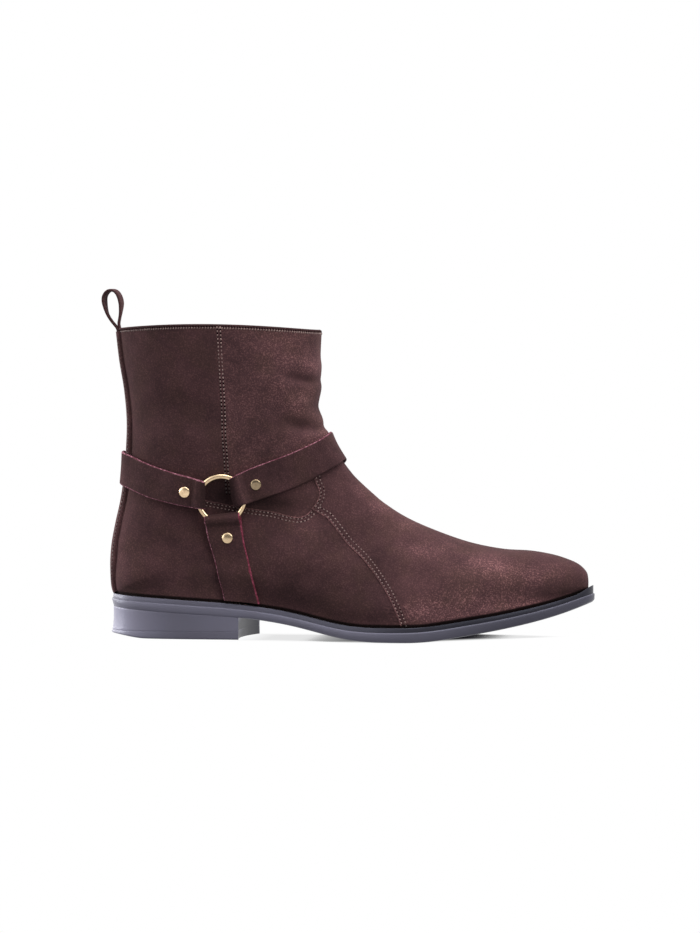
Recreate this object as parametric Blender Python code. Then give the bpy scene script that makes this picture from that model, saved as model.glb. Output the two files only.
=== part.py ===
"""Harness boot for the right foot: toe to +X, outer side to -Y, floor at z = 0. Sizes are in millimetres."""

import math

import bmesh
import bpy
import numpy as np

for old in list(bpy.data.objects):
    bpy.data.objects.remove(old)

MM = 0.001
GAP = 0.3
# Distances along the boot are counted from the back of the sole.
# The part's origin is under the middle of the heel.
ORIGIN_X = 42.0

# Upper
WALL = 2.2
COLLAR_ARCH = 3.4
UPPER_COLUMNS = 24
INSOLE_ROOM = 1.6

# Sole
SOLE_LENGTH = 308.0
SOLE_STATIONS = 34
WELT_THICK = 4.0
WELT_OVERHANG = 0.3
WELT_HEEL_NUB = 1.5
LIP_HEIGHT = 3.6
LIP_START = 272.0
LIP_WIDTH = 2.2
FEATHER_MARGIN_BACK = 1.2
FEATHER_MARGIN_SIDE = 3.0
FEATHER_MARGIN_TOE = 3.8
INSOLE_THICK = 2.2

# Heel
HEEL_FRONT = 84.5
BREAST_HOLLOW = 4.0
LIFT_BACK = 4.4
LIFT_FRONT = 5.3

# Harness
RING_RADIUS = 14.45
WIRE_RADIUS = 1.75
RING_X = 75.8
RING_Z = 89.5
RING_STAND_OFF = 4.35
RIVET_RADIUS = 3.5
RIVET_STEPS = 12
RIVET_EDGE = 0.7
RIVET_DOME = 0.9
# The front strap stands off the instep, and the back strap rises over the back stay.
FRONT_LIFT = 0.4
FRONT_LIFT_RUN = 30.0
BACK_LIFT_FULL = 13.0
BACK_LIFT_START = 26.0

# Back stay and pull loop
STAY_THICK = 1.2
STAY_HALF_WIDTH = 11.5
LOOP_HALF_WIDTH = 6.5
LOOP_THICK = 1.6

# One row per section of the upper, from the collar down the shaft, past the heel and out to the toe.
# front and back: the two ends of the section in the side view, back being the back seam or the lower edge.
# ridge_y: sideways place of the front end. half: widest half width towards each side of the boot.
# widest: share of the section below its widest place. fullness: exponent of the curve above that place.
SECTION_COLUMNS = (
    "front_x", "front_z", "back_x", "back_z", "ridge_y", "half_out", "half_in", "widest", "fullness",
)
SECTIONS = np.array([
    (133.5, 195.2, 3.0, 196.0, 0.0, 45.0, 44.0, 0.46, 2.3),
    (132.8, 177.0, 5.2, 177.0, 0.0, 44.0, 43.0, 0.46, 2.3),
    (133.5, 160.0, 8.4, 157.5, 0.0, 42.5, 41.5, 0.46, 2.3),
    (131.9, 148.5, 10.0, 138.0, 0.0, 41.0, 40.0, 0.46, 2.3),
    (135.0, 136.0, 9.4, 119.0, 0.0, 39.5, 38.5, 0.45, 2.3),
    (137.2, 129.5, 8.2, 104.0, 0.2, 38.2, 37.6, 0.43, 2.3),
    (140.3, 123.0, 5.8, 87.0, 0.5, 37.0, 36.8, 0.40, 2.3),
    (144.4, 116.5, 2.3, 71.5, 0.8, 36.0, 36.0, 0.37, 2.3),
    (149.3, 109.7, -0.3, 57.0, 1.1, 35.4, 35.6, 0.34, 2.3),
    (154.5, 103.2, -0.9, 42.0, 1.4, 35.0, 35.2, 0.32, 2.3),
    (160.0, 97.8, 1.2, 27.9, 1.7, 34.7, 35.0, 0.30, 2.3),
    (166.0, 92.4, 9.0, 27.4, 2.0, 34.5, 34.9, 0.30, 2.3),
    (174.0, 85.7, 38.0, 25.7, 2.4, 34.3, 34.9, 0.30, 2.3),
    (188.0, 76.8, 80.0, 22.9, 3.0, 35.0, 36.0, 0.32, 2.3),
    (206.0, 68.8, 124.0, 17.0, 3.8, 40.0, 40.6, 0.32, 2.25),
    (228.0, 61.2, 168.0, 9.5, 4.8, 48.2, 48.4, 0.30, 2.2),
    (249.0, 57.1, 208.0, 10.6, 5.6, 47.4, 47.4, 0.28, 2.2),
    (267.0, 56.0, 240.0, 15.3, 6.2, 40.0, 40.0, 0.28, 2.25),
    (281.0, 53.7, 264.0, 19.9, 6.8, 31.8, 31.8, 0.28, 2.3),
    (291.5, 50.5, 281.5, 24.0, 7.3, 23.5, 23.5, 0.30, 2.35),
    (298.3, 47.2, 293.8, 27.7, 7.6, 15.9, 15.9, 0.30, 2.4),
    (302.8, 42.7, 301.8, 30.4, 7.9, 8.9, 8.9, 0.30, 2.4),
    (304.2, 38.2, 304.2, 31.4, 8.0, 0.0, 0.0, 0.30, 2.4),
])
HEEL_ROW = 10
HEEL_BLEND = (8.4, 10.0)
TOE_ROW = len(SECTIONS) - 1
# Mesh rows between sections: closer together round the heel's corner and at the toe.
UPPER_ROWS = np.concatenate([
    np.linspace(0, 10, 17, endpoint=False),
    np.linspace(10, 13, 12, endpoint=False),
    np.linspace(13, 19, 12, endpoint=False),
    np.linspace(19, 22, 8),
])

# Outline of the sole seen from above: middle line and half width at each distance from the back.
PLAN_COLUMNS = ("x", "middle", "half")
PLAN = np.array([
    (0.0, 0.0, 0.0),
    (3.0, 0.0, 13.3),
    (8.0, 0.0, 20.9),
    (16.0, -0.1, 27.2),
    (30.0, -0.4, 31.9),
    (48.0, -0.9, 33.6),
    (68.0, -1.7, 33.0),
    (88.0, -2.7, 31.8),
    (108.0, -3.6, 31.6),
    (128.0, -4.0, 34.2),
    (148.0, -3.6, 39.6),
    (168.0, -2.5, 45.6),
    (184.0, -1.2, 49.6),
    (198.0, 0.2, 51.3),
    (212.0, 1.8, 50.4),
    (228.0, 3.6, 46.9),
    (244.0, 5.1, 42.8),
    (260.0, 6.3, 37.3),
    (274.0, 7.1, 31.2),
    (286.0, 7.6, 24.8),
    (296.0, 7.9, 17.8),
    (303.0, 8.0, 11.4),
    (308.0, 8.0, 0.0),
])

# Side view of the sole: height of the tread and of the welt's upper face at each distance from the back.
SOLE_COLUMNS = ("x", "tread_z", "welt_z")
SOLE_LINE = np.array([
    (0.0, 19.3, 27.6),
    (42.0, 16.85, 25.2),
    (84.0, 14.4, 22.6),
    (99.0, 12.6, 20.9),
    (112.0, 10.8, 19.1),
    (122.0, 9.0, 17.4),
    (132.0, 6.7, 15.1),
    (142.0, 4.3, 12.8),
    (152.0, 2.2, 10.9),
    (161.0, 0.7, 9.7),
    (168.0, 0.0, 9.2),
    (180.0, 0.0, 9.2),
    (204.0, 0.0, 9.6),
    (214.0, 1.2, 10.8),
    (229.0, 3.6, 13.2),
    (253.0, 7.8, 17.2),
    (266.0, 10.6, 20.0),
    (279.0, 13.8, 23.0),
    (290.0, 17.2, 26.2),
    (298.0, 20.2, 28.9),
    (304.0, 22.6, 31.0),
    (308.0, 24.3, 32.4),
])

# Straps in the side view, one row per place along each: upper or rear edge, then lower or front edge.
STRAP_COLUMNS = ("edge_x", "edge_z", "other_x", "other_z")
BACK_STRAP = np.array([
    (66.2, 99.6, 66.0, 82.2),
    (57.5, 102.4, 55.6, 83.4),
    (46.5, 105.4, 45.0, 85.5),
    (32.3, 109.6, 30.4, 88.8),
    (22.0, 113.3, 20.5, 92.4),
    (14.0, 116.6, 12.2, 95.6),
])
BACK_STRAP_TOP = 118.3
BACK_STRAP_LOW = 98.2
FRONT_STRAP = np.array([
    (82.6, 102.1, 86.2, 83.6),
    (92.5, 107.3, 100.0, 88.4),
    (106.0, 112.7, 113.5, 93.0),
    (117.2, 117.0, 127.0, 98.5),
    (126.5, 121.4, 137.5, 104.6),
])
FRONT_STRAP_TOP = 130.0
FRONT_STRAP_LOW = 112.6
DOWN_STRAP = np.array([
    (65.5, 79.0, 87.6, 79.8),
    (67.0, 68.0, 89.2, 69.0),
    (71.0, 53.3, 92.3, 55.0),
    (74.6, 40.0, 95.8, 41.5),
    (78.2, 24.6, 100.2, 22.6),
])

# Height of a folded strap end over the upper at each distance from its fold, the ring's wire inside it.
FOLD_COLUMNS = ("from_fold", "under", "over")
FOLD = np.array([
    (0.0, 3.2, 5.5),
    (0.5, 1.7, 7.0),
    (1.5, 0.8, 8.0),
    (3.0, 0.6, 8.4),
    (5.4, 0.6, 8.4),
    (6.6, 0.6, 7.7),
    (8.2, 0.6, 4.7),
    (18.0, 0.6, 4.5),
    (23.0, 0.6, 2.6),
])

# Pull loop in the side view: middle line of its strip, from inside the collar round and back down.
LOOP_COLUMNS = ("x", "z")
LOOP = np.array([
    (11.1, 184.0),
    (10.8, 190.0),
    (10.4, 195.2),
    (9.1, 198.4),
    (6.8, 200.3),
    (5.2, 203.4),
    (5.0, 208.0),
    (3.9, 214.6),
    (0.9, 220.2),
    (-3.0, 221.8),
    (-5.9, 218.8),
    (-6.3, 214.4),
    (-4.7, 208.6),
    (-2.1, 203.6),
    (0.8, 200.0),
    (3.6, 198.4),
    (6.0, 197.8),
    (7.8, 196.2),
    (8.5, 193.6),
    (8.8, 190.0),
    (9.1, 184.0),
])

# Rivets of the outer side in the side view, named for the strap they hold.
RIVETS = {
    "back": (54.3, 92.0),
    "front": (97.0, 96.4),
    "down": (80.6, 63.9),
}

SIDES = {"outer": -1.0, "inner": 1.0}


def hermite(xs, ys, slopes, x):
    x = np.clip(np.asarray(x, float), xs[0], xs[-1])
    i = np.clip(np.searchsorted(xs, x, side="right") - 1, 0, len(xs) - 2)
    step = xs[i + 1] - xs[i]
    t = (x - xs[i]) / step
    start = (1 + 2 * t) * (1 - t) ** 2 * ys[i] + t * (1 - t) ** 2 * step * slopes[i]
    end = t * t * (3 - 2 * t) * ys[i + 1] + t * t * (t - 1) * step * slopes[i + 1]
    return start + end


def smooth(xs, ys, x):
    """Curve through the points that bends as evenly as it can."""
    chord = np.diff(ys) / np.diff(xs)
    step = np.diff(xs)
    middle = (chord[:-1] * step[1:] + chord[1:] * step[:-1]) / (step[:-1] + step[1:])
    slopes = np.concatenate([[chord[0]], middle, [chord[-1]]])
    return hermite(xs, ys, slopes, x)


def steady(xs, ys, x):
    """Curve through the points that keeps level stretches level."""
    chord = np.diff(ys) / np.diff(xs)
    product = chord[:-1] * chord[1:]
    total = chord[:-1] + chord[1:]
    middle = np.where(product > 0, 2 * product / np.where(product > 0, total, 1.0), 0.0)
    slopes = np.concatenate([[chord[0]], middle, [chord[-1]]])
    return hermite(xs, ys, slopes, x)


def ease(start, end, value):
    t = np.clip((np.asarray(value, float) - start) / (end - start), 0.0, 1.0)
    return t * t * (3 - 2 * t)


def tread_z(x):
    return steady(SOLE_LINE[:, 0], SOLE_LINE[:, 1], x)


def welt_z(x):
    return steady(SOLE_LINE[:, 0], SOLE_LINE[:, 2], x)


def plan_point(turn):
    """Edge of the sole at a turn: 0 at the back, 1 at the toe along the outer side, 2 at the back again."""
    x = SOLE_LENGTH * (1 - np.cos(math.pi * turn)) / 2
    half = np.sqrt(np.maximum(smooth(PLAN[:, 0], PLAN[:, 2] ** 2, x), 0.0))
    middle = smooth(PLAN[:, 0], PLAN[:, 1], x)
    side = np.where(np.sin(math.pi * turn) >= 0, -1.0, 1.0)
    return x, middle + side * half


def outline(turn, margin):
    """The sole's edge moved inward by a margin, which may be a function of x."""
    turn = np.asarray(turn, float)
    nudge = 1e-3
    x, y = plan_point(turn)
    ahead_x, ahead_y = plan_point(turn + nudge)
    behind_x, behind_y = plan_point(turn - nudge)
    along_x = ahead_x - behind_x
    along_y = ahead_y - behind_y
    length = np.hypot(along_x, along_y)
    inset = margin(x) if callable(margin) else margin
    return x - along_y / length * inset, y + along_x / length * inset


def feather_margin(x):
    side = FEATHER_MARGIN_BACK + (FEATHER_MARGIN_SIDE - FEATHER_MARGIN_BACK) * ease(10.0, 150.0, x)
    return side + (FEATHER_MARGIN_TOE - FEATHER_MARGIN_SIDE) * ease(270.0, 308.0, x)


def inner_margin(x):
    return feather_margin(x) + WALL


def edge_table(margin):
    """The upper's lower edge in plan: its ends, then half width and middle at each share of it."""
    turns = np.linspace(0.0, 1.0, 801)
    x, outer_y = outline(turns, margin)
    inner_y = np.interp(x, *outline(2.0 - turns, margin))
    inner_y[0] = outer_y[0]
    inner_y[-1] = outer_y[-1]
    share = (x - x[0]) / (x[-1] - x[0])
    return x[0], x[-1], share, (inner_y - outer_y) / 2, (inner_y + outer_y) / 2


EDGE_OUTSIDE = edge_table(feather_margin)
EDGE_INSIDE = edge_table(inner_margin)


def edge_ends(inset):
    depth = inset / WALL
    return [EDGE_OUTSIDE[i] + (EDGE_INSIDE[i] - EDGE_OUTSIDE[i]) * depth for i in (0, 1)]


def edge_at(x, inset):
    """Half width and middle of the lower edge at x, the edge moved inward by the inset."""
    start, end = edge_ends(inset)
    share = np.clip((x - start) / (end - start), 0.0, 1.0)
    found = []
    for i in (3, 4):
        outside = np.interp(share, EDGE_OUTSIDE[2], EDGE_OUTSIDE[i])
        inside = np.interp(share, EDGE_INSIDE[2], EDGE_INSIDE[i])
        found.append(outside + (inside - outside) * inset / WALL)
    return np.maximum(found[0], 0.0), found[1]


def section_values(row):
    rows = np.arange(len(SECTIONS), dtype=float)
    return {name: smooth(rows, SECTIONS[:, i], row) for i, name in enumerate(SECTION_COLUMNS)}


def section_frame(row, outer, inset):
    """Both ends of a section on one side of the boot, with its widths, moved inward by the inset."""
    at = section_values(row)
    nudge = 0.02
    ahead = section_values(np.clip(row + nudge, 0.0, TOE_ROW))
    behind = section_values(np.clip(row - nudge, 0.0, TOE_ROW))
    run = ahead["front_x"] - behind["front_x"]
    drop = ahead["front_z"] - behind["front_z"]
    length = np.hypot(run, drop)
    front_x = at["front_x"] + drop / length * inset
    front_z = at["front_z"] - run / length * inset
    run = ahead["back_x"] - behind["back_x"]
    drop = ahead["back_z"] - behind["back_z"]
    length = np.hypot(run, drop)
    seam_x = at["back_x"] - drop / length * inset
    seam_z = at["back_z"] + run / length * inset
    on_foot = row > HEEL_ROW
    start, end = edge_ends(inset)
    whole = EDGE_OUTSIDE[1] - EDGE_OUTSIDE[0]
    foot_x = start + (at["back_x"] - EDGE_OUTSIDE[0]) / whole * (end - start)
    back_x = np.where(on_foot, foot_x, seam_x)
    shift = np.where(on_foot, 0.0, seam_x - start)
    half = np.where(outer, at["half_out"], at["half_in"]) - inset
    widest_x = back_x + (front_x - back_x) * at["widest"]
    below = edge_at(widest_x - shift, inset)[0] * ease(*HEEL_BLEND, row)
    return {
        "front_x": front_x,
        "front_z": front_z,
        "back_x": back_x,
        "back_z": np.where(on_foot, welt_z(foot_x) + GAP, seam_z),
        "shift": shift,
        "ridge_y": at["ridge_y"],
        "edge": np.where(on_foot, edge_at(foot_x, inset)[0], 0.0),
        "full": np.maximum(half, below + 0.2 * np.minimum(below, 1.0)),
        "widest": at["widest"],
        "fullness": at["fullness"],
    }


def lower_rise(angle, upright):
    """Share of the lower part climbed at an angle: round where the section closes, upright over an edge."""
    straight = upright ** 2
    return (1 - straight) * (1 - np.cos(angle)) + straight * angle * 2 / math.pi


def upper_point(row, turn, inset=0.0):
    """Point of the upper, inset from its outside. turn: 0 outer edge or back, 1 ridge, 2 inner edge."""
    row, turn, inset = np.broadcast_arrays(*(np.asarray(value, float) for value in (row, turn, inset)))
    turn = np.where(np.abs(turn - 2.0) < 1e-6, 2.0, np.mod(turn, 2.0))
    outer = turn <= 1.0
    at = section_frame(np.clip(row, 0.0, TOE_ROW), outer, inset)
    climb = np.where(outer, turn, 2.0 - turn)
    low = math.pi * np.clip(climb, 0.0, 0.5)
    high = math.pi * (np.clip(climb, 0.5, 1.0) - 0.5)
    power = 2.0 / at["fullness"]
    upright = at["edge"] / np.maximum(at["full"], 1e-9)
    rise_low = at["widest"] * lower_rise(low, upright)
    rise_high = at["widest"] + (1 - at["widest"]) * np.sin(high) ** power
    wide_high = at["full"] * np.maximum(np.cos(high), 0.0) ** power
    rise = np.where(climb < 0.5, rise_low, rise_high)
    x = at["back_x"] + (at["front_x"] - at["back_x"]) * rise
    z = at["back_z"] + (at["front_z"] - at["back_z"]) * rise
    z = z + COLLAR_ARCH * (1 - ease(0.0, 2.5, row)) * 4 * rise * (1 - rise)
    below, low_middle = edge_at(x - at["shift"], inset)
    below = np.minimum(below, at["full"])
    on_foot = ease(*HEEL_BLEND, row)
    round_back = (at["full"] * np.sin(low)) ** 2
    over_edge = below ** 2 + (at["full"] ** 2 - below ** 2) * np.sin(low) ** 3
    wide_low = np.sqrt(np.maximum(round_back + (over_edge - round_back) * on_foot, 0.0))
    wide = np.where(climb < 0.5, wide_low, wide_high)
    low_middle = low_middle * on_foot
    middle = low_middle + (at["ridge_y"] - low_middle) * ease(0.0, 1.0, rise)
    return np.stack([x, middle + np.where(outer, -wide, wide), z], axis=-1)


def upper_normal(row, turn):
    """Outward direction of the upper's side wall."""
    row, turn = np.broadcast_arrays(np.asarray(row, float), np.asarray(turn, float))
    nudge = 0.01
    along = upper_point(row + nudge, turn) - upper_point(row - nudge, turn)
    round_it = upper_point(row, turn + nudge) - upper_point(row, turn - nudge)
    normal = np.cross(along, round_it)
    return normal / np.linalg.norm(normal, axis=-1, keepdims=True)


def side_place(x, z):
    """Section row and turn of the outer wall at a point of the side view."""
    x = np.asarray(x, float)
    z = np.asarray(z, float)
    low = np.zeros_like(x)
    high = np.full_like(x, float(TOE_ROW))
    for _ in range(40):
        middle = (low + high) / 2
        at = section_frame(middle, True, 0.0)
        run = at["front_x"] - at["back_x"]
        climb = at["front_z"] - at["back_z"]
        past = run * (z - at["back_z"]) - climb * (x - at["back_x"]) > 0
        low = np.where(past, low, middle)
        high = np.where(past, middle, high)
    row = (low + high) / 2
    at = section_frame(row, True, 0.0)
    run = at["front_x"] - at["back_x"]
    climb = at["front_z"] - at["back_z"]
    rise = ((x - at["back_x"]) * run + (z - at["back_z"]) * climb) / (run ** 2 + climb ** 2)
    rise = np.clip(rise, 0.0, 1.0)
    upright = at["edge"] / np.maximum(at["full"], 1e-9)
    low = np.zeros_like(rise)
    high = np.full_like(rise, math.pi / 2)
    for _ in range(40):
        middle = (low + high) / 2
        past = lower_rise(middle, upright) > rise / at["widest"]
        high = np.where(past, middle, high)
        low = np.where(past, low, middle)
    share = np.clip((rise - at["widest"]) / (1 - at["widest"]), 0.0, 1.0)
    upper = 0.5 + np.arcsin(share ** (at["fullness"] / 2)) / math.pi
    return row, np.where(rise < at["widest"], low / math.pi, upper)


def row_at_height(column, height):
    """Section row whose front or back end is at a height, between the collar and the vamp."""
    rows = np.linspace(0.0, HEEL_ROW, 801)
    heights = section_values(rows)[column]
    return float(np.interp(-height, -heights, rows))


def material(name, colour, roughness, metallic=0.0):
    made = bpy.data.materials.new(name)
    made.use_nodes = True
    shader = made.node_tree.nodes["Principled BSDF"]
    shader.inputs["Base Color"].default_value = (*colour, 1.0)
    shader.inputs["Roughness"].default_value = roughness
    shader.inputs["Metallic"].default_value = metallic
    return made


SUEDE = material("brown suede", (0.085, 0.045, 0.045), 0.95)
STRAP_SUEDE = material("brown strap suede", (0.075, 0.04, 0.042), 0.95)
BRASS = material("antique brass", (0.62, 0.48, 0.24), 0.3, 1.0)
SOLE_RUBBER = material("charcoal sole rubber", (0.075, 0.075, 0.09), 0.45)
INSOLE_LEATHER = material("pale insole leather", (0.55, 0.42, 0.36), 0.7)


def add_object(name, points, faces, finish):
    """Closed solid from points in millimetres, with doubled points joined and faces turned outward."""
    mesh = bpy.data.meshes.new(name)
    placed = (np.asarray(points, float) - (ORIGIN_X, 0.0, 0.0)) * MM
    mesh.from_pydata([tuple(point) for point in placed], [], faces)
    work = bmesh.new()
    work.from_mesh(mesh)
    bmesh.ops.remove_doubles(work, verts=work.verts, dist=0.005 * MM)
    bmesh.ops.dissolve_degenerate(work, edges=work.edges, dist=0.002 * MM)
    bmesh.ops.recalc_face_normals(work, faces=work.faces)
    work.to_mesh(mesh)
    work.free()
    mesh.materials.append(finish)
    made = bpy.data.objects.new(name, mesh)
    bpy.context.scene.collection.objects.link(made)
    return made


def grid_faces(rows, columns, start=0, flip=False):
    faces = []
    for i in range(rows - 1):
        for j in range(columns - 1):
            a = start + i * columns + j
            face = (a, a + 1, a + columns + 1, a + columns)
            faces.append(face[::-1] if flip else face)
    return faces


def build_upper():
    rows = UPPER_ROWS
    turns = np.linspace(0.0, 2.0, UPPER_COLUMNS + 1)
    row_grid, turn_grid = np.meshgrid(rows, turns, indexing="ij")
    outside = upper_point(row_grid, turn_grid)
    inside = upper_point(row_grid, turn_grid, WALL)
    count, columns = row_grid.shape
    points = np.concatenate([outside.reshape(-1, 3), inside.reshape(-1, 3)])
    inner_start = count * columns
    faces = grid_faces(count, columns) + grid_faces(count, columns, inner_start, True)
    for j in range(columns - 1):
        faces.append((j, j + 1, inner_start + j + 1, inner_start + j))
    for i in range(int(np.sum(rows < HEEL_ROW)), count - 1):
        for edge in (0, columns - 1):
            a = i * columns + edge
            b = a + columns
            faces.append((a, b, inner_start + b, inner_start + a))
    return add_object("upper", points, faces, SUEDE)


def plate(name, levels, finish, stations=SOLE_STATIONS):
    """Solid from a stack of outlines of the sole, each with its own margin and height."""
    turns = np.linspace(0.0, 1.0, stations + 1)
    loop = np.concatenate([turns, 2.0 - turns[-2:0:-1]])
    count = len(loop)
    points = []
    for margin, height in levels:
        x, y = outline(loop, margin)
        points.append(np.stack([x, y, height(x)], axis=-1))
    faces = []
    for level in range(len(levels) - 1):
        a = level * count
        for i in range(count):
            j = (i + 1) % count
            faces.append((a + i, a + j, a + count + j, a + count + i))
    for level in (0, len(levels) - 1):
        a = level * count
        for i in range(1, stations - 1):
            faces.append((a + i, a + i + 1, a + count - i - 1, a + count - i))
        faces.append((a, a + 1, a + count - 1))
        faces.append((a + stations - 1, a + stations, a + stations + 1))
    return add_object(name, np.concatenate(points), faces, finish)


def welt_edge(x):
    return -WELT_OVERHANG - WELT_HEEL_NUB * np.exp(-np.asarray(x, float) / 9.0)


def build_sole():
    def lip_z(x):
        return welt_z(x) + LIP_HEIGHT * ease(LIP_START, SOLE_LENGTH, x) ** 2

    def welt_low_z(x):
        return welt_z(x) - WELT_THICK

    plate(
        "welt",
        [
            (lambda x: welt_edge(x) + LIP_WIDTH + 0.6, welt_z),
            (lambda x: welt_edge(x) + 0.7, lip_z),
            (welt_edge, lambda x: lip_z(x) - 0.6),
            (welt_edge, lambda x: welt_low_z(x) + 1.0),
            (lambda x: welt_edge(x) + 0.5, welt_low_z),
        ],
        SOLE_RUBBER,
    )

    def outsole_top_z(x):
        return welt_low_z(x) - GAP

    plate(
        "outsole",
        [
            (0.9, outsole_top_z),
            (0.1, lambda x: outsole_top_z(x) - 0.5),
            (0.1, lambda x: tread_z(x) + 1.6),
            (0.7, lambda x: tread_z(x) + 1.3),
            (0.9, lambda x: tread_z(x) + 0.5),
            (1.6, tread_z),
        ],
        SOLE_RUBBER,
    )

    def insole_margin(x):
        return feather_margin(x) + WALL + INSOLE_ROOM

    plate(
        "insole",
        [
            (insole_margin, lambda x: welt_z(x) + GAP),
            (insole_margin, lambda x: welt_z(x) + GAP + INSOLE_THICK - 0.5),
            (lambda x: insole_margin(x) + 0.5, lambda x: welt_z(x) + GAP + INSOLE_THICK),
        ],
        INSOLE_LEATHER,
        stations=28,
    )


def heel_outline(margin, front):
    """Edge of the heel from its outer front corner round the back, then along the hollow breast."""
    corner = math.acos(1 - 2 * front / SOLE_LENGTH) / math.pi
    spread = np.linspace(1.0, -1.0, 29)
    x, y = outline(np.mod(corner * spread, 2.0), margin)
    across = np.linspace(1.0, 0.0, 11)[1:-1]
    breast_y = y[-1] + (y[0] - y[-1]) * (1 - across)
    breast_x = x[-1] + (x[0] - x[-1]) * (1 - across)
    breast_x = breast_x - BREAST_HOLLOW * 4 * across * (1 - across)
    return np.concatenate([x, breast_x]), np.concatenate([y, breast_y])


def heel_block(name, levels):
    points = []
    for margin, height, front in levels:
        x, y = heel_outline(margin, front)
        points.append(np.stack([x, y, height(x)], axis=-1))
    count = len(points[0])
    faces = []
    for level in range(len(levels) - 1):
        a = level * count
        for i in range(count):
            j = (i + 1) % count
            faces.append((a + i, a + j, a + count + j, a + count + i))
    faces.append(tuple(range(count)))
    faces.append(tuple(range((len(levels) - 1) * count, len(levels) * count)))
    return add_object(name, np.concatenate(points), faces, SOLE_RUBBER)


def build_heel():
    def top_z(x):
        return tread_z(x) - GAP

    def lift_z(x):
        return LIFT_BACK + (LIFT_FRONT - LIFT_BACK) * np.asarray(x, float) / HEEL_FRONT

    def between(share):
        return lambda x: lift_z(x) + GAP + (top_z(x) - lift_z(x) - GAP) * share

    heel_block(
        "heel",
        [
            (1.0, top_z, HEEL_FRONT + 1.5),
            (0.5, between(0.93), HEEL_FRONT + 1.5),
            (1.2, between(0.70), HEEL_FRONT + 1.0),
            (1.5, between(0.40), HEEL_FRONT + 0.5),
            (1.0, between(0.05), HEEL_FRONT),
            (1.4, between(0.0), HEEL_FRONT),
        ],
    )
    heel_block(
        "top_lift",
        [
            (1.4, lift_z, HEEL_FRONT),
            (0.9, lambda x: lift_z(x) - 0.5, HEEL_FRONT),
            (0.4, lambda x: 1.2 + 0 * x, HEEL_FRONT),
            (0.5, lambda x: 0.5 + 0 * x, HEEL_FRONT),
            (1.0, lambda x: 0 * x, HEEL_FRONT),
        ],
    )


def strap_places(rows, ends):
    """Section rows and turns of a strap's two edges, with the last row on the ridge or the back seam."""
    index = np.arange(len(rows), dtype=float)
    close = np.linspace(0.0, index[-1], 4 * (len(rows) - 1) + 1)
    edge_x, edge_z, other_x, other_z = (smooth(index, rows[:, i], close) for i in range(4))
    edge_row, edge_turn = side_place(edge_x, edge_z)
    other_row, other_turn = side_place(other_x, other_z)
    if ends is not None:
        close = np.append(close, close[-1] + 1.0)
        edge_row = np.append(edge_row, ends[0])
        other_row = np.append(other_row, ends[1])
        edge_turn = np.append(edge_turn, ends[2])
        other_turn = np.append(other_turn, ends[2])
    return close, (edge_row, edge_turn, other_row, other_turn)


def strap_stations(places, fold_steps):
    """Places along one half of a strap: close together near the fold, evenly spaced beyond it."""
    index, columns = places
    fine = np.linspace(0.0, index[-1], 400)
    values = [smooth(index, column, fine) for column in columns]
    middle = upper_point((values[0] + values[2]) / 2, (values[1] + values[3]) / 2)
    lengths = np.concatenate([[0.0], np.cumsum(np.linalg.norm(np.diff(middle, axis=0), axis=1))])
    far = np.linspace(FOLD[-1, 0], lengths[-1], fold_steps + 1)[1:]
    wanted = np.concatenate([FOLD[:, 0], far])
    return wanted, [np.interp(wanted, lengths, value) for value in values]


def band_solid(name, edge_row, edge_turn, other_row, other_turn, under, over, finish, across=3):
    """Strip on the upper between two edges, with its under and over faces at the given heights."""
    share = np.linspace(0.0, 1.0, across + 1)
    row = edge_row[:, None] + (other_row - edge_row)[:, None] * share
    turn = edge_turn[:, None] + (other_turn - edge_turn)[:, None] * share
    low = upper_point(row, turn, -np.broadcast_to(np.asarray(under, float), row.shape))
    high = upper_point(row, turn, -np.broadcast_to(np.asarray(over, float), row.shape))
    count, columns = row.shape
    points = np.concatenate([low.reshape(-1, 3), high.reshape(-1, 3)])
    start = count * columns
    faces = grid_faces(count, columns, 0, True) + grid_faces(count, columns, start)
    for i in range(count - 1):
        for edge in (0, columns - 1):
            a = i * columns + edge
            b = a + columns
            faces.append((a, b, start + b, start + a))
    for i in (0, count - 1):
        for j in range(columns - 1):
            a = i * columns + j
            faces.append((a, a + 1, start + a + 1, start + a))
    return add_object(name, points, faces, finish)


def ring_frame(side):
    """Centre and axes of a ring: the plane at one height off the upper under its three straps."""
    places = [(RING_X - RING_RADIUS, RING_Z), (RING_X + RING_RADIUS, RING_Z), (RING_X, RING_Z - RING_RADIUS)]
    row, turn = side_place([x for x, _ in places], [z for _, z in places])
    turn = turn if side < 0 else 2.0 - turn
    seats = upper_point(row, turn) + upper_normal(row, turn) * RING_STAND_OFF
    centre = (seats[0] + seats[1]) / 2
    along = seats[1] - seats[0]
    along /= np.linalg.norm(along)
    down = seats[2] - centre
    down -= along * down.dot(along)
    down /= np.linalg.norm(down)
    return centre, along, -down


def torus(name, side, wire_radius, finish, around=30, through=8):
    centre, along, up = ring_frame(side)
    out = np.cross(along, up)
    points = []
    for i in range(around):
        angle = 2 * math.pi * i / around
        spoke = along * math.cos(angle) + up * math.sin(angle)
        for j in range(through):
            bend = 2 * math.pi * (j + 0.5) / through
            reach = RING_RADIUS + wire_radius * math.cos(bend)
            points.append(centre + spoke * reach + out * wire_radius * math.sin(bend))
    faces = []
    for i in range(around):
        for j in range(through):
            a = i * through + j
            b = i * through + (j + 1) % through
            c = ((i + 1) % around) * through + (j + 1) % through
            d = ((i + 1) % around) * through + j
            faces.append((a, b, c, d))
    return add_object(name, points, faces, finish)


def cut_rings(strap, cutters):
    for cutter in cutters:
        cut = strap.modifiers.new("ring tunnel", "BOOLEAN")
        cut.operation = "DIFFERENCE"
        cut.solver = "EXACT"
        cut.object = cutter


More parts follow.
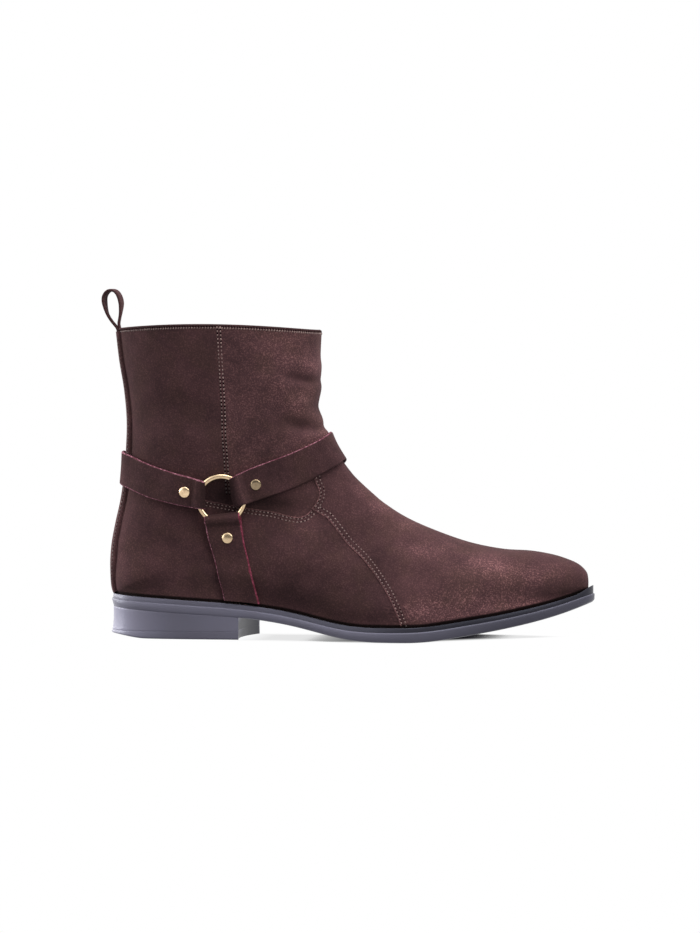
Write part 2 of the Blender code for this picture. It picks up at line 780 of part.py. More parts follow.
def build_harness():
    cutters = {}
    for name, side in SIDES.items():
        torus("ring_" + name, side, WIRE_RADIUS, BRASS)
        cutter = torus("ring_tunnel_" + name, side, WIRE_RADIUS + GAP, BRASS, around=24, through=8)
        cutter.hide_render = True
        cutter.display_type = "WIRE"
        cutters[name] = cutter

    stay_room = GAP + STAY_THICK + GAP
    ends = (row_at_height("back_z", BACK_STRAP_TOP), row_at_height("back_z", BACK_STRAP_LOW), 0.0)
    length, half = strap_stations(strap_places(BACK_STRAP, ends), 9)
    under = np.interp(length, FOLD[:, 0], FOLD[:, 1])
    over = np.interp(length, FOLD[:, 0], FOLD[:, 2])
    run = length[-1] - length
    lift = (stay_room - GAP) * (1 - ease(BACK_LIFT_FULL, BACK_LIFT_START, run))
    full = [np.concatenate([value[:-1], value[::-1] * sign]) for value, sign in zip(half, (1, -1, 1, -1))]
    under = np.concatenate([(under + lift)[:-1], (under + lift)[::-1]])
    over = np.concatenate([(over + lift)[:-1], (over + lift)[::-1]])
    strap = band_solid("strap_back", *full, under[:, None], over[:, None], STRAP_SUEDE)
    cut_rings(strap, cutters.values())

    ends = (row_at_height("front_z", FRONT_STRAP_TOP), row_at_height("front_z", FRONT_STRAP_LOW), 1.0)
    length, half = strap_stations(strap_places(FRONT_STRAP, ends), 9)
    under = np.interp(length, FOLD[:, 0], FOLD[:, 1])
    over = np.interp(length, FOLD[:, 0], FOLD[:, 2])
    lift = FRONT_LIFT * ease(length[-1] - FRONT_LIFT_RUN, length[-1], length)
    mirrored = []
    for i, value in enumerate(half):
        back = 2.0 - value[::-1] if i in (1, 3) else value[::-1]
        mirrored.append(np.concatenate([value[:-1], back]))
    under = np.concatenate([(under + lift)[:-1], (under + lift)[::-1]])
    over = np.concatenate([(over + lift)[:-1], (over + lift)[::-1]])
    strap = band_solid("strap_front", *mirrored, under[:, None], over[:, None], STRAP_SUEDE)
    cut_rings(strap, cutters.values())

    length, half = strap_stations(strap_places(DOWN_STRAP, None), 8)
    under = np.interp(length, FOLD[:, 0], FOLD[:, 1])
    over = np.interp(length, FOLD[:, 0], FOLD[:, 2])
    for name, side in SIDES.items():
        values = half if side < 0 else [half[0], 2.0 - half[1], half[2], 2.0 - half[3]]
        name_of = "strap_down_" + name
        strap = band_solid(name_of, *values, under[:, None], over[:, None], STRAP_SUEDE, across=4)
        cut_rings(strap, [cutters[name]])


def build_rivets():
    for strap, (x, z) in RIVETS.items():
        for name, side in SIDES.items():
            row, turn = side_place([x], [z])
            turn = turn if side < 0 else 2.0 - turn
            seat = upper_point(row, turn, -FOLD[-3, 2])[0]
            normal = upper_normal(row, turn)[0]
            across = np.cross(normal, (0.0, 0.0, 1.0))
            across /= np.linalg.norm(across)
            up = np.cross(across, normal)
            base = GAP
            profile = [
                (RIVET_RADIUS - 0.3, base),
                (RIVET_RADIUS, base + 0.3),
                (RIVET_RADIUS - 0.2, base + RIVET_EDGE),
                (RIVET_RADIUS - 0.9, base + RIVET_EDGE + 0.1),
                (RIVET_RADIUS * 0.45, base + RIVET_EDGE + RIVET_DOME * 0.7),
            ]
            points = []
            for radius, height in profile:
                for i in range(RIVET_STEPS):
                    angle = 2 * math.pi * i / RIVET_STEPS
                    spoke = across * math.cos(angle) + up * math.sin(angle)
                    points.append(seat + spoke * radius + normal * height)
            points.append(seat + normal * (base + RIVET_EDGE + RIVET_DOME))
            faces = [tuple(range(RIVET_STEPS))]
            for level in range(len(profile) - 1):
                for i in range(RIVET_STEPS):
                    a = level * RIVET_STEPS + i
                    b = level * RIVET_STEPS + (i + 1) % RIVET_STEPS
                    faces.append((a, b, b + RIVET_STEPS, a + RIVET_STEPS))
            last = (len(profile) - 1) * RIVET_STEPS
            for i in range(RIVET_STEPS):
                faces.append((last + i, last + (i + 1) % RIVET_STEPS, len(points) - 1))
            add_object("rivet_" + strap + "_" + name, points, faces, BRASS)


def build_stay():
    rows = np.linspace(0.12, HEEL_ROW - 0.25, 18)
    fine = np.linspace(0.0, 0.45, 200)
    turns = []
    for row in rows:
        width = -upper_point(row, fine)[:, 1]
        turns.append(np.interp(STAY_HALF_WIDTH, width, fine))
    turns = np.array(turns)
    band_solid("back_stay", rows, turns, rows, -turns, GAP, GAP + STAY_THICK, SUEDE, across=4)


def build_loop():
    steps = np.linspace(0.0, len(LOOP) - 1.0, 41)
    index = np.arange(len(LOOP), dtype=float)
    x = smooth(index, LOOP[:, 0], steps)
    z = smooth(index, LOOP[:, 1], steps)
    along_x = np.gradient(x)
    along_z = np.gradient(z)
    length = np.hypot(along_x, along_z)
    out_x = along_z / length * LOOP_THICK / 2
    out_z = -along_x / length * LOOP_THICK / 2
    points = []
    for sign in (-1, 1):
        for y in (-LOOP_HALF_WIDTH, LOOP_HALF_WIDTH):
            points.append(np.stack([x + sign * out_x, 0 * x + y, z + sign * out_z], axis=-1))
    count = len(steps)
    faces = []
    for i in range(count - 1):
        for first, second in ((0, 1), (1, 3), (3, 2), (2, 0)):
            a = first * count + i
            b = second * count + i
            faces.append((a, b, b + 1, a + 1))
    for i in (0, count - 1):
        faces.append((i, count + i, 3 * count + i, 2 * count + i))
    add_object("pull_loop", np.concatenate(points), faces, SUEDE)


build_upper()
build_sole()
build_heel()
build_harness()
build_rivets()
build_stay()
build_loop()
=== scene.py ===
import math

import bmesh
import bpy
import numpy as np
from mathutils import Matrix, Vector


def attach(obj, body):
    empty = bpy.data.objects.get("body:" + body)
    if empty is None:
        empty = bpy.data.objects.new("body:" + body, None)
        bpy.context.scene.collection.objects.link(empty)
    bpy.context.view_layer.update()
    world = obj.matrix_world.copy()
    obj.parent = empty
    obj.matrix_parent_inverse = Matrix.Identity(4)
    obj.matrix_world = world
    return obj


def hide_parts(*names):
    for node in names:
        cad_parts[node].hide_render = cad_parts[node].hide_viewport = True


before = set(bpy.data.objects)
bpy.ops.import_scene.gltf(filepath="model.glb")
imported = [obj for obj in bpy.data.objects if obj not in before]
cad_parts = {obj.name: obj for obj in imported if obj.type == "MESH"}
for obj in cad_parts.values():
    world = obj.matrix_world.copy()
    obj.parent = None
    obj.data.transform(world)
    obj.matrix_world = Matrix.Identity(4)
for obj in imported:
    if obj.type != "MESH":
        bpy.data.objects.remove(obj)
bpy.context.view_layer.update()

bl_info = {
    "name": "Harness boot",
    "version": (1, 0, 0),
    "blender": (4, 5, 0),
    "location": "View3D > Sidebar > Boot",
    "description": "Dresses a suede harness boot around its solids, with panels, seams, straps and sole",
    "category": "Object",
}

# The boot's own sizes are in millimetres, counted from the back of the sole. Toe to +X, outer side to -Y.
MM = 0.001
ORIGIN_X = 42.0
WALL = 2.2
GAP = 0.3
COLLAR_ARCH = 3.4
COLLAR_ARCH_ROWS = 2.5
SOLE_LENGTH = 308.0
FEATHER_MARGIN_BACK = 1.2
FEATHER_MARGIN_SIDE = 3.0
FEATHER_MARGIN_TOE = 3.8
FEATHER_SIDE_RUN = (10.0, 150.0)
FEATHER_TOE_RUN = (270.0, 308.0)
SIDES = {"outer": -1.0, "inner": 1.0}
DOUBLE_POINT = 0.004

# One row per section of the upper, from the collar down the shaft, past the heel and out to the toe.
SECTION_COLUMNS = (
    "front_x", "front_z", "back_x", "back_z", "ridge_y", "half_out", "half_in", "widest", "fullness",
)
SECTIONS = np.array([
    (133.5, 195.2, 3.0, 196.0, 0.0, 45.0, 44.0, 0.46, 2.3),
    (132.8, 177.0, 5.2, 177.0, 0.0, 44.0, 43.0, 0.46, 2.3),
    (133.5, 160.0, 8.4, 157.5, 0.0, 42.5, 41.5, 0.46, 2.3),
    (131.9, 148.5, 10.0, 138.0, 0.0, 41.0, 40.0, 0.46, 2.3),
    (135.0, 136.0, 9.4, 119.0, 0.0, 39.5, 38.5, 0.45, 2.3),
    (137.2, 129.5, 8.2, 104.0, 0.2, 38.2, 37.6, 0.43, 2.3),
    (140.3, 123.0, 5.8, 87.0, 0.5, 37.0, 36.8, 0.40, 2.3),
    (144.4, 116.5, 2.3, 71.5, 0.8, 36.0, 36.0, 0.37, 2.3),
    (149.3, 109.7, -0.3, 57.0, 1.1, 35.4, 35.6, 0.34, 2.3),
    (154.5, 103.2, -0.9, 42.0, 1.4, 35.0, 35.2, 0.32, 2.3),
    (160.0, 97.8, 1.2, 27.9, 1.7, 34.7, 35.0, 0.30, 2.3),
    (166.0, 92.4, 9.0, 27.4, 2.0, 34.5, 34.9, 0.30, 2.3),
    (174.0, 85.7, 38.0, 25.7, 2.4, 34.3, 34.9, 0.30, 2.3),
    (188.0, 76.8, 80.0, 22.9, 3.0, 35.0, 36.0, 0.32, 2.3),
    (206.0, 68.8, 124.0, 17.0, 3.8, 40.0, 40.6, 0.32, 2.25),
    (228.0, 61.2, 168.0, 9.5, 4.8, 48.2, 48.4, 0.30, 2.2),
    (249.0, 57.1, 208.0, 10.6, 5.6, 47.4, 47.4, 0.28, 2.2),
    (267.0, 56.0, 240.0, 15.3, 6.2, 40.0, 40.0, 0.28, 2.25),
    (281.0, 53.7, 264.0, 19.9, 6.8, 31.8, 31.8, 0.28, 2.3),
    (291.5, 50.5, 281.5, 24.0, 7.3, 23.5, 23.5, 0.30, 2.35),
    (298.3, 47.2, 293.8, 27.7, 7.6, 15.9, 15.9, 0.30, 2.4),
    (302.8, 42.7, 301.8, 30.4, 7.9, 8.9, 8.9, 0.30, 2.4),
    (304.2, 38.2, 304.2, 31.4, 8.0, 0.0, 0.0, 0.30, 2.4),
])
HEEL_ROW = 10
HEEL_BLEND = (8.4, 10.0)
TOE_ROW = len(SECTIONS) - 1

# Outline of the sole seen from above. Columns: x, middle line, half width.
PLAN = np.array([
    (0.0, 0.0, 0.0),
    (3.0, 0.0, 13.3),
    (8.0, 0.0, 20.9),
    (16.0, -0.1, 27.2),
    (30.0, -0.4, 31.9),
    (48.0, -0.9, 33.6),
    (68.0, -1.7, 33.0),
    (88.0, -2.7, 31.8),
    (108.0, -3.6, 31.6),
    (128.0, -4.0, 34.2),
    (148.0, -3.6, 39.6),
    (168.0, -2.5, 45.6),
    (184.0, -1.2, 49.6),
    (198.0, 0.2, 51.3),
    (212.0, 1.8, 50.4),
    (228.0, 3.6, 46.9),
    (244.0, 5.1, 42.8),
    (260.0, 6.3, 37.3),
    (274.0, 7.1, 31.2),
    (286.0, 7.6, 24.8),
    (296.0, 7.9, 17.8),
    (303.0, 8.0, 11.4),
    (308.0, 8.0, 0.0),
])

# Side view of the sole. Columns: x, height of the tread, height of the welt's upper face.
SOLE_LINE = np.array([
    (0.0, 19.3, 27.6),
    (42.0, 16.85, 25.2),
    (84.0, 14.4, 22.6),
    (99.0, 12.6, 20.9),
    (112.0, 10.8, 19.1),
    (122.0, 9.0, 17.4),
    (132.0, 6.7, 15.1),
    (142.0, 4.3, 12.8),
    (152.0, 2.2, 10.9),
    (161.0, 0.7, 9.7),
    (168.0, 0.0, 9.2),
    (180.0, 0.0, 9.2),
    (204.0, 0.0, 9.6),
    (214.0, 1.2, 10.8),
    (229.0, 3.6, 13.2),
    (253.0, 7.8, 17.2),
    (266.0, 10.6, 20.0),
    (279.0, 13.8, 23.0),
    (290.0, 17.2, 26.2),
    (298.0, 20.2, 28.9),
    (304.0, 22.6, 31.0),
    (308.0, 24.3, 32.4),
])

# Straps in the side view, one row per place along each. Columns: x and z of the upper or rear edge, then of
# the lower or front edge.
BACK_STRAP = np.array([
    (66.2, 99.6, 66.0, 82.2),
    (57.5, 102.4, 55.6, 83.4),
    (46.5, 105.4, 45.0, 85.5),
    (32.3, 109.6, 30.4, 88.8),
    (22.0, 113.3, 20.5, 92.4),
    (14.0, 116.6, 12.2, 95.6),
])
BACK_STRAP_TOP = 118.3
BACK_STRAP_LOW = 98.2
FRONT_STRAP = np.array([
    (82.6, 102.1, 86.2, 83.6),
    (92.5, 107.3, 100.0, 88.4),
    (106.0, 112.7, 113.5, 93.0),
    (117.2, 117.0, 127.0, 98.5),
    (126.5, 121.4, 137.5, 104.6),
])
FRONT_STRAP_TOP = 130.0
FRONT_STRAP_LOW = 112.6
DOWN_STRAP = np.array([
    (65.8, 79.0, 87.6, 81.6),
    (67.0, 68.0, 89.2, 69.0),
    (71.0, 53.3, 92.3, 55.0),
    (74.6, 40.0, 95.8, 41.5),
    (78.2, 24.6, 100.2, 22.6),
])
FRONT_LIFT = 0.4
FRONT_LIFT_RUN = 30.0
BACK_LIFT = 1.5
BACK_LIFT_FULL = 13.0
BACK_LIFT_START = 26.0

# Pull loop in the side view, from inside the collar round and back down. Columns: x, z of its strip's middle.
LOOP = np.array([
    (3.9, 193.6),
    (3.2, 196.6),
    (2.6, 199.6),
    (3.1, 203.0),
    (3.7, 206.5),
    (4.1, 210.5),
    (4.0, 213.6),
    (2.9, 217.4),
    (0.9, 220.2),
    (-1.9, 221.2),
    (-4.6, 220.2),
    (-6.4, 217.6),
    (-6.8, 214.4),
    (-6.1, 210.0),
    (-4.7, 205.6),
    (-2.4, 201.8),
    (0.0, 198.9),
    (1.3, 197.3),
    (2.0, 195.6),
    (2.3, 193.6),
])

# Rivets of the outer side in the side view, named for the strap they hold.
RIVETS = {
    "back": (54.3, 92.0),
    "front": (97.0, 96.4),
    "down": (80.6, 63.9),
}
RIVET_RADIUS = 3.5
RIVET_SEAT = 4.5
# Half section of a rivet's head. Columns: radius, height.
RIVET_PROFILE = (
    (RIVET_RADIUS - 0.3, -0.2),
    (RIVET_RADIUS - 0.05, 0.1),
    (RIVET_RADIUS, 0.35),
    (RIVET_RADIUS - 0.08, 0.6),
    (RIVET_RADIUS - 0.35, 0.84),
    (RIVET_RADIUS - 0.9, 1.0),
    (RIVET_RADIUS * 0.5, 1.1),
    (RIVET_RADIUS * 0.25, 1.15),
    (0.0, 1.16),
)
RIVET_STEPS = 28
# How light each rivet is: one brass, painted lighter on the back rivet and darker on the front one.
RIVET_TONES = {"back": 1.25, "front": 0.45, "down": 0.95}
RING_RADIUS = 14.45
WIRE_RADIUS = 1.75
RING_X = 75.8
RING_Z = 89.5
RING_STAND_OFF = 4.35
RING_STEPS = 97
WIRE_STEPS = 21
STAY_HALF_WIDTH = 15.0
STAY_THICK = 1.6
# Half section across the stay and the loop, from the middle out. Columns: share of the width, of the
# thickness.
STAY_SECTION = ((0.0, 1.0), (0.25, 1.0), (0.5, 1.0), (0.75, 1.0), (0.9, 1.0), (0.97, 0.85), (1.0, 0.45))
STAY_STATIONS = 110
LOOP_SECTION = ((0.0, 1.0), (0.5, 1.0), (0.85, 1.0), (0.95, 0.88), (1.0, 0.55))
LOOP_STATIONS = 141
LOOP_HALF_WIDTH = 6.5
LOOP_THICK = 1.6
LOOP_TWIST = 0.158
LOOP_TWIST_Z = (203.0, 215.0)

# Seams in the side view, the same on both sides of the boot. Columns: x, z.
# Butted seam down the side of the shaft, with a row of stitches on either side.
SHAFT_SEAM = np.array([
    (75.6, 198.5),
    (76.0, 178.0),
    (77.2, 164.0),
    (77.9, 147.0),
    (78.1, 130.0),
    (78.7, 117.0),
    (79.4, 100.0),
    (80.0, 88.0),
])
# Edge of the quarter and then of the vamp, both lying over the shaft, from the back seam to the instep.
SHAFT_EDGE = np.array([
    (4.0, 101.0),
    (30.0, 96.0),
    (50.0, 91.2),
    (67.3, 87.9),
    (78.0, 86.0),
    (93.8, 83.2),
    (106.9, 81.4),
    (117.2, 78.8),
    (124.0, 77.8),
    (128.9, 79.5),
    (131.8, 83.0),
    (134.4, 86.8),
    (136.0, 91.0),
    (135.8, 95.2),
    (134.0, 99.0),
    (133.0, 104.0),
    (135.0, 109.5),
    (141.0, 114.0),
    (152.0, 118.0),
])
# Edge of the vamp lying over the quarter, from the shaft's edge down to the welt.
VAMP_EDGE = np.array([
    (131.4, 82.6),
    (137.0, 79.6),
    (142.6, 75.8),
    (154.8, 61.4),
    (167.2, 50.2),
    (179.7, 35.3),
    (186.0, 25.4),
    (190.4, 15.4),
    (192.8, 8.0),
])
# How far a panel takes to come level with its neighbour, and how sharply height and tone change at its edge.
SEAM_STEP_RUN = 14.0
STEP_BLEND = 0.45
TONE_BLEND = 0.4
VAMP_OVER = 0.5
QUARTER_UNDER = 0.4
SEAM_WIDTH = 0.7
SEAM_DEPTH = 0.45
PULL_WIDTH = 0.6
SHAFT_EDGE_ROWS = (1.1, 3.1)
VAMP_EDGE_ROWS = (1.15, 3.6)
SIDE_ROW = 1.0
STITCH_TOP = 200.0
SEAM_STITCH_LOW = 92.0
STAY_ROW = 1.6
STITCH_MISS = 0.6
STITCH_TURNS = (0.03, 0.97)
STITCH_SIDES = 6
HOLE_STEPS = 8
# Sections along a stitch of unit length and width. Columns: place, width, height of its middle.
STITCH_SECTIONS = (
    (-0.5, 0.35, -0.5),
    (-0.40, 0.8, -0.12),
    (-0.15, 1.0, 0.08),
    (0.15, 1.0, 0.08),
    (0.40, 0.8, -0.12),
    (0.5, 0.35, -0.5),
)
# Half section of a needle hole's rim. Columns: radius, height.
HOLE_PROFILE = ((0.58, -0.15), (0.52, 0.06), (0.2, 0.09), (0.0, 0.09))
COLLAR_STITCH_ROW = 0.085
COLLAR_PITCH_SHARE = 0.72
COLLAR_SLANT = 50.0
# How light the thread is low on the boot and high on it, over what heights, and its least and most tone.
SEAM_LIGHT = (0.4, 1.0)
EDGE_LIGHT = (0.95, 0.95)
STAY_LIGHT = (0.3, 0.3)
COLLAR_LIGHT = (0.68, 0.68)
LIGHT_HEIGHTS = (100.0, 190.0)
THREAD_TONES = (0.15, 1.25)
# How far the inner side's collar stands over the outer side's, from the front ridge to the back seam.
COLLAR_LEAN = np.array([
    (0.0, 0.0), (0.15, -1.2), (0.5, -1.7), (0.65, -0.9), (0.78, -0.1), (0.9, 0.4), (1.0, 0.0),
])
COLLAR_LEAN_ROWS = 1.6
SUEDE_THICK = 1.7
LINING_GAP = 0.05
RIM_SHARES = (0.25, 0.5, 0.75)
INSIDE_TONE = 0.6
# Stretches of section rows on the upper's face, its back and the lining. Columns: start, end, count.
FACE_ROWS = ((0.0, 0.3, 8), (0.3, 10.0, 128), (10.0, 13.0, 40), (13.0, 19.0, 66), (19.0, 22.0, 30))
BACK_ROWS = ((0.0, 10.0, 26), (10.0, 22.0, 40))
LINING_ROWS = ((0.06, 10.0, 40), (10.0, 22.0, 50))
FACE_COLUMNS = 260
BACK_COLUMNS = 72
LINING_COLUMNS = 90

# Folds of the shaft, each a soft trough or ridge that dies away along its line. Columns: x and z of its
# start, x and z of its end, height outward, half width, and the distances along it between which it grows.
SHAFT_FOLDS = np.array([
    (138.5, 162.4, 108.0, 168.5, -1.9, 2.6, 3.0, 10.0),
    (139.5, 132.0, 108.0, 140.5, -3.0, 4.0, 0.0, 6.0),
    (137.0, 146.5, 106.0, 154.0, 1.9, 5.0, 5.0, 14.0),
    (137.0, 171.5, 112.0, 177.0, 0.9, 4.0, 0.0, 8.0),
    (120.0, 158.0, 96.0, 172.0, 0.7, 5.0, -8.0, 4.0),
    (118.0, 140.0, 92.0, 128.0, -0.6, 6.0, -8.0, 4.0),
    (48.0, 150.0, 16.0, 146.0, -0.7, 8.0, -30.0, -8.0),
    (60.0, 128.0, 14.0, 126.0, 0.7, 8.0, -30.0, -8.0),
    (138.0, 146.4, 118.0, 147.4, -0.55, 3.5, -30.0, -8.0),
    (138.0, 133.0, 124.0, 133.0, 2.3, 6.0, -30.0, -8.0),
])

# Section of a panel's cut edge. Columns: offset towards the panel below, share of the step, extra height and
# gain in tone: a painted shade on the panel below the edge, and the paler cut edge itself.
EDGE_PROFILE = (
    (1.0, 0.0, -0.15, 0.9),
    (0.3, 0.0, 0.02, 0.8),
    (0.08, 0.6, 0.0, 1.2),
    (-0.12, 1.0, 0.04, 2.1),
    (-0.42, 1.0, 0.07, 1.9),
    (-0.7, 1.0, 0.0, 1.25),
    (-1.0, 1.0, -0.2, 1.0),
)

# How deep a cut edge is rooted in the wall below it, and how far inside its own panel it takes its tone.
EDGE_ROOT = 0.6
EDGE_TONE_OFFSET = 1.9
# How far a point of the edge may miss the upper, and the turn where the edge ends.
EDGE_MISS = 0.5
EDGE_END = 0.93

# How light each panel's nap lies.
PANEL_TONES = {
    "shaft_back": 0.96,
    "shaft_front": 1.24,
    "quarter": 1.07,
    "vamp": 0.96,
    "strap": 0.89,
    "stay": 1.1,
    "loop": 0.9,
}

# Painted shade on the suede close to the welt, beside the stay and under the quarter's edge, a darker band
# at the collar's rim, and painted light and shade on its folds.
WELT_SHADE = 0.05
WELT_SHADE_RUN = (1.5, 2.8)
COLLAR_SHADE = 0.5
COLLAR_SHADE_ROWS = (0.02, 0.10)
STAY_SHADE = 0.6
STAY_SHADE_WIDTH = 0.6
STAY_TURNS = 0.6
STEP_SHADE = 0.25
STEP_SHADE_AT = 0.7
STEP_SHADE_WIDTH = 0.8
FOLD_LIGHT = 0.19
FOLD_LIGHT_HEIGHTS = (-3.0, 2.5)

# Places in the side view where the nap lies lighter or darker, with painted light among them: painted
# highlights on the vamp, painted shade inside the ring and under the front strap. Columns: x, z, half length,
# half height, gain.
NAP_AND_PAINTED_LIGHT = np.array([
    (206.0, 58.0, 26.0, 7.0, 0.38),
    (240.0, 48.0, 20.0, 7.0, 0.48),
    (206.0, 18.0, 14.0, 7.0, 0.60),
    (250.0, 24.0, 34.0, 7.0, 0.90),
    (232.0, 18.0, 24.0, 6.0, 0.40),
    (242.0, 33.0, 20.0, 7.0, 0.18),
    (285.0, 29.0, 12.0, 6.0, -0.22),
    (272.0, 42.0, 22.0, 8.0, 0.46),
    (224.0, 32.0, 22.0, 10.0, 0.22),
    (130.0, 66.0, 10.0, 10.0, 0.15),
    (128.0, 40.0, 32.0, 16.0, -0.44),
    (160.0, 28.0, 16.0, 12.0, -0.20),
    (112.0, 86.0, 24.0, 9.0, -0.55),
    (118.0, 176.0, 10.0, 8.0, 0.12),
    (116.0, 150.0, 12.0, 8.0, 0.12),
    (10.0, 50.0, 8.0, 20.0, 0.12),
    (75.5, 91.0, 12.0, 11.0, -0.66),
    (104.0, 87.0, 14.0, 3.5, -0.35),
    (161.0, 95.0, 7.0, 6.0, 0.28),
    (173.0, 84.0, 9.0, 6.0, 0.32),
    (192.0, 73.0, 12.0, 6.0, 0.28),
])

# Sole and heel, with the reach over which the corners of their heights are eased.
FLOW_REACH = 11.0
FLOW_ENDS = 30.0
WELT_THICK = 2.9
WELT_SET_BACK = 1.0
# How light the rubber is along the sole: lighter towards the back, a painted highlight, and darker towards
# the toe. Columns: x, tone.
WELT_TONE = np.array([
    (0.0, 2.2), (12.0, 1.6), (40.0, 1.3), (90.0, 1.25), (150.0, 0.75), (210.0, 0.28), (308.0, 0.26),
])
OUTSOLE_TONE = np.array([
    (0.0, 2.3), (12.0, 1.9), (40.0, 1.7), (90.0, 1.75),
    (150.0, 1.75), (220.0, 1.05), (260.0, 0.75), (308.0, 0.85),
])
# Gain in tone on the outsole's ledge, a painted highlight along its step. Columns: x, gain.
LEDGE_GAIN = np.array([(0.0, 1.0), (90.0, 1.05), (170.0, 1.2), (230.0, 1.4), (308.0, 2.1)])
# Painted highlight at the back of the heel. Columns: x, tone.
HEEL_TONE = np.array([(0.0, 4.3), (10.0, 3.4), (30.0, 2.05), (90.0, 1.92)])
LIFT_TONE = 0.78
# Painted shade over the heel's breast, and a painted highlight at its upper outer corner.
BREAST_TONE = 0.2
BREAST_LIT = 10.0
BREAST_LIT_RUN = (1.05, 0.2)
# How the light on the breast dies away, and its tone falls, across it and down it.
BREAST_LIT_ACROSS = 1.4
BREAST_LIT_DOWN = 1.7
BREAST_FALL_ACROSS = 0.35
BREAST_FALL_DOWN = 0.2
WELT_OVERHANG = 0.3
WELT_HEEL_NUB = 1.5
LIP_HEIGHT = 2.4
LIP_START = 296.0
LIP_WIDTH = 2.2
HEEL_FRONT = 84.5
HEEL_CORNERS = (86.2, 89.0)
HEEL_WEAR = 2.3
HEEL_STATIONS = 121
SOLE_STATIONS = 170
# Where the outsole changes over to the heel, from the heel's front.
HEEL_CHANGE = (10.0, -2.0)
LAYER_GAP = 0.04
HEEL_WEAR_RUN = 26.0
BREAST_HOLLOW = 4.0
BREAST_STATIONS = 31
LIFT_BACK = 4.4
LIFT_FRONT = 5.3
LIFT_BULGE = 2.2
# Run over which the bulge at the very back of the sole dies away.
BULGE_RUN = 9.0
# Rounded lower edge of the outsole, downward. Columns: margin and how much less over the heel, bulge at the
# back, rise over the tread and how much less over the heel.
TREAD_EDGE = (
    (0.0, 0.0, 0.7, 1.2, 0.0),
    (0.35, 0.05, 0.7, 0.7, 0.5),
    (0.8, 0.42, 0.7, 0.3, 0.25),
    (1.6, 1.0, 0.5, 0.0, 0.0),
)
# Levels of the heel, downward. Columns: margin, bulge at the back, share of the height.
HEEL_LEVELS = (
    (0.6, 1.1, 1.0),
    (0.48, 1.1, 0.985),
    (0.46, 1.1, 0.95),
    (0.52, 1.05, 0.85),
    (0.60, 1.05, 0.70),
    (0.66, 1.15, 0.52),
    (0.71, 1.3, 0.36),
    (0.76, 1.6, 0.2),
    (0.8, 2.0, 0.06),
    (0.81, 2.1, 0.015),
    (0.9, 2.1, 0.0),
)
# Levels of the top lift, downward. Columns: margin, share of the lift's height, rise.
LIFT_LEVELS = (
    (0.95, 1.0, 0.0),
    (0.8, 1.0, -0.12),
    (0.75, 1.0, -0.5),
    (0.4, 0.0, 1.2),
    (0.45, 0.0, 0.5),
    (0.9, 0.0, 0.0),
)

# Stage, in metres. Softboxes have a name, a place, a size and a power. The camera looks from the outer side,
# turned a little towards the toe.
CAMERA_AZIMUTH = 9.0
CAMERA_DISTANCE = 3.4
CAMERA_HEIGHT = 0.225
CAMERA_CENTRE = (0.1104, 0.109)
CAMERA_LENS = 206.2
FLOOR_HALF = 8.0
FLOOR_DROP = 0.0002
# Reaches of the floor's shadow close to the sole and wider, in millimetres.
CONTACT_REACH = 12.0
WIDE_REACH = 45.0
# Line of the sole's outer edge on the floor: its slope, its y at the origin and its lowest y.
FLOOR_EDGE = (0.87, -0.175, -0.046)
LIGHT_TARGET = (0.11, 0.0, 0.09)
SKY_LOW = 0.20
SKY_HIGH = 0.62
SKY_BEHIND = 1.1
GLOSS_FRONT = 0.10
GLOSS_TOP = 1.2
GLOSS_LEFT = 3.4
SOFTBOXES = (
    ("softbox_top", (0.30, -0.35, 1.5), (1.0, 1.0), 14.0),
    ("softbox_toe", (1.2, -1.0, 0.9), (0.8, 0.8), 8.0),
    ("softbox_back", (-1.4, 0.25, 0.35), (0.7, 0.9), 13.0),
)

# Finishes, named for the real material and how it was worked; the lit copy of the raw edge is named for its
# painted highlight.
SUEDE = "brushed brown suede"
# Lit copy of the raw edge, whose paler colour is a painted highlight.
LIT_EDGE = "raw leather edge, rubbed pale"
CRIMSON_EDGE = "raw leather edge, dyed through"
LINING_LEATHER = "pale lining leather"
BRASS = "pale tumbled brass"
RUBBER = "satin moulded rubber"
TREAD_RUBBER = "ribbed tread rubber"
THREAD = "bonded sewing thread"
NEEDLE_HOLE = "needle hole in suede"

# Middle line of a strap folded round the ring's wire: distance from the fold and height over the upper.
STRAP_THICK = 1.8
FOLD_WIRE = 4.4
FOLD_UNDER = 1.55
FOLD_OVER = 3.6
FOLD_SINGLE = 1.6
FOLD_CLOSE = 9.0
FOLD_TAIL = 17.0
FOLD_END = 32.0
FOLD_SETTLE = 14.0
WIRE_CLEARANCE = 0.25
STRAP_PITCH = 2.2
# Painted highlight on a fold's crown, painted shade inside the fold, and painted shade close to the upper.
FOLD_CROWN_LIGHT = 0.35
FOLD_CROWN_LIGHT_AT = 1.0
FOLD_CROWN_LIGHT_WIDTH = 0.9
FOLD_SHADE = 0.45
FOLD_SHADE_RUN = (3.2, 0.5)
UNDER_SHADE = 0.45
UNDER_SHADE_RUN = (1.2, 0.2)
# Section across a strap. Columns: share of the width, share of the thickness.
STRAP_SECTION = np.array([
    (0.0, 0.55),
    (0.012, 0.85),
    (0.03, 0.97),
    (0.07, 1.0),
    (0.14, 1.0),
    (0.26, 1.0),
    (0.38, 1.0),
    (0.5, 1.0),
    (0.62, 1.0),
    (0.74, 1.0),
    (0.86, 1.0),
    (0.93, 1.0),
    (0.97, 0.97),
    (0.988, 0.85),
    (1.0, 0.55),
])
BACK_SLACK = 1.2
FRONT_SLACK = 2.4
# How far a strap's upper edge stands off the upper at the ridge or the back seam, and over what run.
BACK_EDGE_STAND = 0.6
FRONT_EDGE_STAND = 0.8
EDGE_STAND_RUN = (26.0, 4.0)


